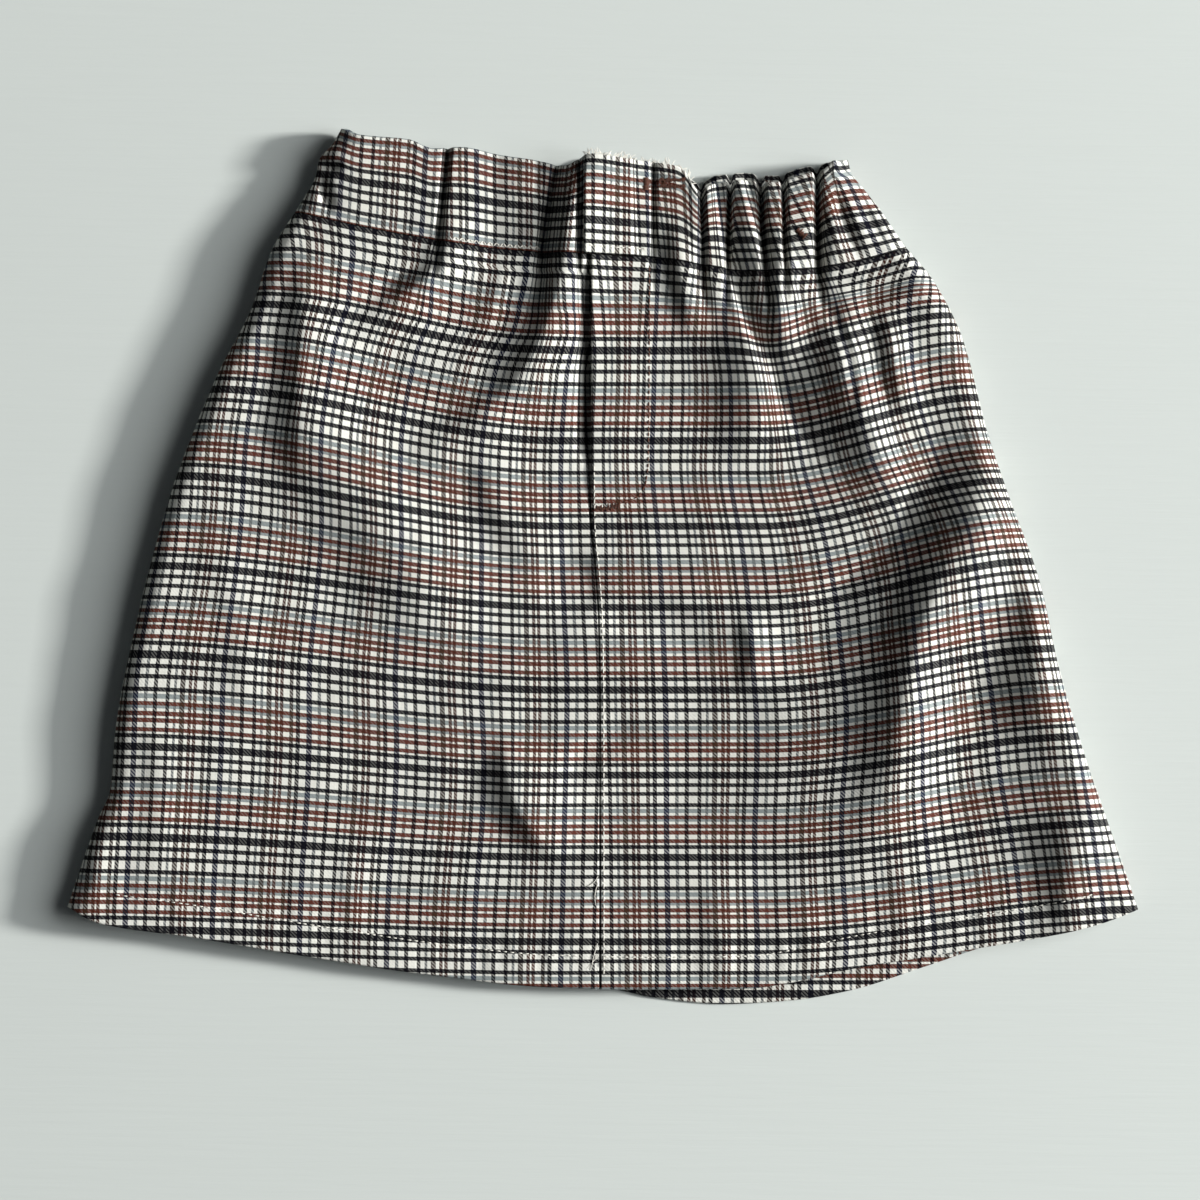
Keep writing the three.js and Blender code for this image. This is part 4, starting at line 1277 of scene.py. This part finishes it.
WARP_ORDER = [  # place in the repeat, width in mm, colour
    (0.0, 1.8, BLACK), (0.127, 2.5, NAVY), (0.245, 1.6, PALE_GREY), (0.355, 1.8, BLACK),
    (0.497, 1.8, BLACK), (0.580, 1.2, PALE_GREY), (0.664, 2.3, TAUPE), (0.752, 1.5, DARK_RUST),
    (0.812, 1.5, DARK_RUST), (0.922, 1.7, TAUPE),
]
WEFT_ORDER = [
    (0.0, 3.5, BLACK), (0.121, 1.9, BLACK), (0.228, 1.9, BLACK), (0.366, 1.9, BLACK),
    (0.440, 2.1, GREY_BLUE), (0.515, 1.8, RUST), (0.555, 1.3, GREY_BLUE),
    (0.626, 2.0, RUST), (0.700, 2.0, RUST), (0.804, 1.9, RUST), (0.8755, 1.9, BLACK),
]
RUST_GROUP = 0.787  # place of the brown group's middle in the warp order
ORDER_SHIFT = 0.05  # moves the first stripe clear of the repeat's end


def ramp_stops(order, repeat):
    """Stops of a constant ramp: each stripe opens in its colour and closes in cream."""
    stops = [(0.0, (*CREAM, 1))]
    for place, width, colour in order:
        half = width / repeat / 2
        stops += [(place + ORDER_SHIFT - half, (*colour, 1))]
        stops += [(place + ORDER_SHIFT + half, (*CREAM, 1))]
    return stops


# %% The twill material
TWILL = 1.7  # width of one diagonal, across the cloth
WARP_FLOAT = 0.5  # share of it where the warp lies on top
WARP_SPREAD, WEFT_SPREAD = 0.68, 0.86  # how far dark yarns darken light ones that cross them


def plaid_twill():
    """Two stripe orders through a diagonal mask, shaded by slubs in both yarns and broad worn
    patches, with a little pale nap on top. The relief is the diagonal's ridge plus the nap."""
    shader = Shader("plaid_twill")
    cloth = shader.node("ShaderNodeUVMap", {"uv_map": "cloth"}, {})
    across = shader.node("ShaderNodeSeparateXYZ", {}, {0: cloth}, output=0)
    down = shader.node("ShaderNodeSeparateXYZ", {}, {0: cloth}, output=1)
    warp_place = (across / (WARP_REPEAT * MM) + RUST_GROUP + ORDER_SHIFT) % 1.0
    weft_place = (down / (WEFT_REPEAT * MM) + ORDER_SHIFT) % 1.0
    warp = shader.node(
        "ShaderNodeValToRGB", {"stops": ramp_stops(WARP_ORDER, WARP_REPEAT)}, {0: warp_place}
    )
    weft = shader.node(
        "ShaderNodeValToRGB", {"stops": ramp_stops(WEFT_ORDER, WEFT_REPEAT)}, {0: weft_place}
    )
    diagonal = ((across - down) / (TWILL * MM)) % 1.0
    weft_on_top = diagonal > WARP_FLOAT
    woven = shader.blend("MIX", weft_on_top, warp, weft)
    spread = shader.blend("DARKEN", WARP_SPREAD, woven, warp)
    spread = shader.blend("DARKEN", WEFT_SPREAD, spread, weft)
    yarn = shader.noise(shader.mapped(cloth, (1400, 90, 1)), 1.0, 2.0)
    yarn_weft = shader.noise(shader.mapped(cloth, (90, 1400, 1)), 1.0, 2.0)
    place = shader.object_place()
    nap = shader.noise(place, 1500.0, 2.0)
    worn = shader.noise(place, 22.0, 3.0)
    # slubs and worn patches lie evenly round the yarn's own colour
    shade = shader.grey(0.72 + 0.26 * yarn + 0.22 * yarn_weft + 0.10 * worn)
    colour = shader.blend("MULTIPLY", 1.0, spread, shade)
    colour = shader.blend("ADD", 1.0, colour, shader.grey((nap - 0.5) * 0.02))
    ridge = shader.node("ShaderNodeMath", {"operation": "PINGPONG"}, {0: diagonal, 1: 0.5})
    bump = shader.bump(0.45, 0.25, ridge * 1.2 + nap * 0.8 + yarn * 0.3)
    return shader.finish(
        Base_Color=colour, Roughness=0.92 - 0.1 * yarn, Normal=bump, Sheen_Weight=0.01,
        Sheen_Roughness=0.6, Specular_IOR_Level=0.05,
    )


plaid = plaid_twill()
print("plaid stops:", len(WARP_ORDER) * 2 + 1, "warp,", len(WEFT_ORDER) * 2 + 1, "weft")

# %% Thread
def thread(name, colour):
    """Matt twisted thread: its colour is worn lighter and darker in 3 mm spots, and a fine
    slanted noise stands for the twist of its strands."""
    shader = Shader(name)
    place = shader.object_place()
    shade = shader.grey(0.7 + 0.6 * shader.noise(place, 330.0, 2.0))
    tinted = shader.blend("MULTIPLY", 1.0, (*colour, 1), shade)
    twist = shader.noise(shader.mapped(place, (2600, 900, 900), turn=0.7), 1.0, 1.0)
    bump = shader.bump(0.5, 0.12, twist)
    return shader.finish(Base_Color=tinted, Roughness=0.8, Normal=bump, Specular_IOR_Level=0.2)


sewing_thread = thread("sewing_thread", (0.62, 0.60, 0.54))
brown_thread = thread("brown_thread", (0.085, 0.036, 0.024))

# %% [markdown]
# ## Floor, light and camera
#
# The skirt lies on a pale painted surface with faint brush marks. Two lamps stand at the right:
# a small one, low down, draws the shadows, and a large one above it softens them. So the left
# side of every fold falls into shade and the skirt throws its shadow to the left. The camera
# looks straight down.

# %% Floor
TABLE_COLOUR = (0.565, 0.60, 0.575)


def painted_surface():
    """Pale paint with faint brush strokes."""
    shader = Shader("painted_surface")
    stroke = shader.mapped(shader.object_place(), (3, 60, 1), turn=0.35)
    bump = shader.bump(0.25, 0.6, shader.noise(stroke, 6.0, 4.0))
    return shader.finish(Base_Color=(*TABLE_COLOUR, 1), Roughness=0.55, Normal=bump)


half = 1500.0  # half the width of the table top
floor = make_mesh(
    "floor",
    np.array([(-half, -half, 0), (half, -half, 0), (half, half, 0), (-half, half, 0)]),
    np.array([(0, 1, 2, 3)]),
)
floor.data.materials.append(painted_surface())

# %% Camera
from mathutils import Vector

VIEW_CENTRE = (-1.3, -13.5, 9.0)  # the point that the camera looks at
VIEW_WIDTH, VIEW_DISTANCE = 532.8, 2200.0

camera_data = bpy.data.cameras.new("camera")
camera = bpy.data.objects.new("camera", camera_data)
bpy.context.scene.collection.objects.link(camera)
camera_data.sensor_width = 36.0
camera_data.lens = camera_data.sensor_width * VIEW_DISTANCE / VIEW_WIDTH
camera.location = Vector(VIEW_CENTRE) * MM + Vector((0, 0, VIEW_DISTANCE * MM))
bpy.context.scene.camera = camera

# %% Lights
def area_light(name, turn, rise, distance, size, power, colour):
    """Square lamp at a direction and distance from the skirt, facing it."""
    data = bpy.data.lights.new(name, "AREA")
    data.size, data.energy, data.color = size, power, colour
    lamp = bpy.data.objects.new(name, data)
    bpy.context.scene.collection.objects.link(lamp)
    a, e = np.radians(turn), np.radians(rise)
    way = Vector((np.cos(a) * np.cos(e), np.sin(a) * np.cos(e), np.sin(e)))
    lamp.location = way * distance
    lamp.rotation_mode = "QUATERNION"
    lamp.rotation_quaternion = way.to_track_quat("Z", "Y")
    return lamp


bpy.context.scene.view_settings.view_transform = "Standard"
area_light(
    "low_window", turn=5, rise=21, distance=9.0, size=1.1, power=1440, colour=(1.0, 0.99, 0.97)
)
area_light("sky", turn=8, rise=37, distance=9.0, size=6.2, power=740, colour=(0.97, 0.99, 1.0))
world = bpy.data.worlds.new("room")
world.use_nodes = True
world.node_tree.nodes["Background"].inputs["Color"].default_value = (0.86, 0.93, 1.0, 1)
world.node_tree.nodes["Background"].inputs["Strength"].default_value = 0.05
bpy.context.scene.world = world

# %% [markdown]
# ## Cloth, thread and the rigid body
#
# Every piece takes the place of its CAD node, which is hidden, gets the plaid and rides on
# the one rigid body, and every seam gets its thread and rides on it too.

CUTS = [
    (front_left_panel, "skirt_front_left", (0.262, 0.350), 0.078, ["skirt_back"]),
    (front_right_panel, "skirt_front_right", (0.262, 0.350), 0.078, ["skirt_back"]),
    (back_panel_piece, "skirt_back", (0.500, 0.350), 0.140, ["floor"]),
    (left_waistband, "waistband_front_left", (0.170, 0.046), 0.0072, ["waistband_back"]),
    (right_waistband, "waistband_front_right", (0.200, 0.046), 0.0080, ["waistband_back"]),
    (back_waistband, "waistband_back", (0.300, 0.046), 0.0130, ["floor"]),
]
SEWN = [
    (front_left_panel, sewing_thread, [left_hem_stitches, loose_ends]),
    (front_right_panel, sewing_thread, [right_hem_stitches, lap_stitches]),
    (left_waistband, sewing_thread, [band_zigzag]),
    (right_waistband, sewing_thread, [tab_stitches, frayed_yarns]),
    (front_right_panel, brown_thread, [fly_stitches, bar_tack]),
    (right_waistband, brown_thread, band_bars),
]
for cloth, material, seams in SEWN:
    for seam in seams:
        seam.data.materials.append(material)
        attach(seam, "root")
for piece, node, flat, area, rests_on in CUTS:
    piece.data.materials.append(plaid)
    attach(piece, "root")
    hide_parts(node)
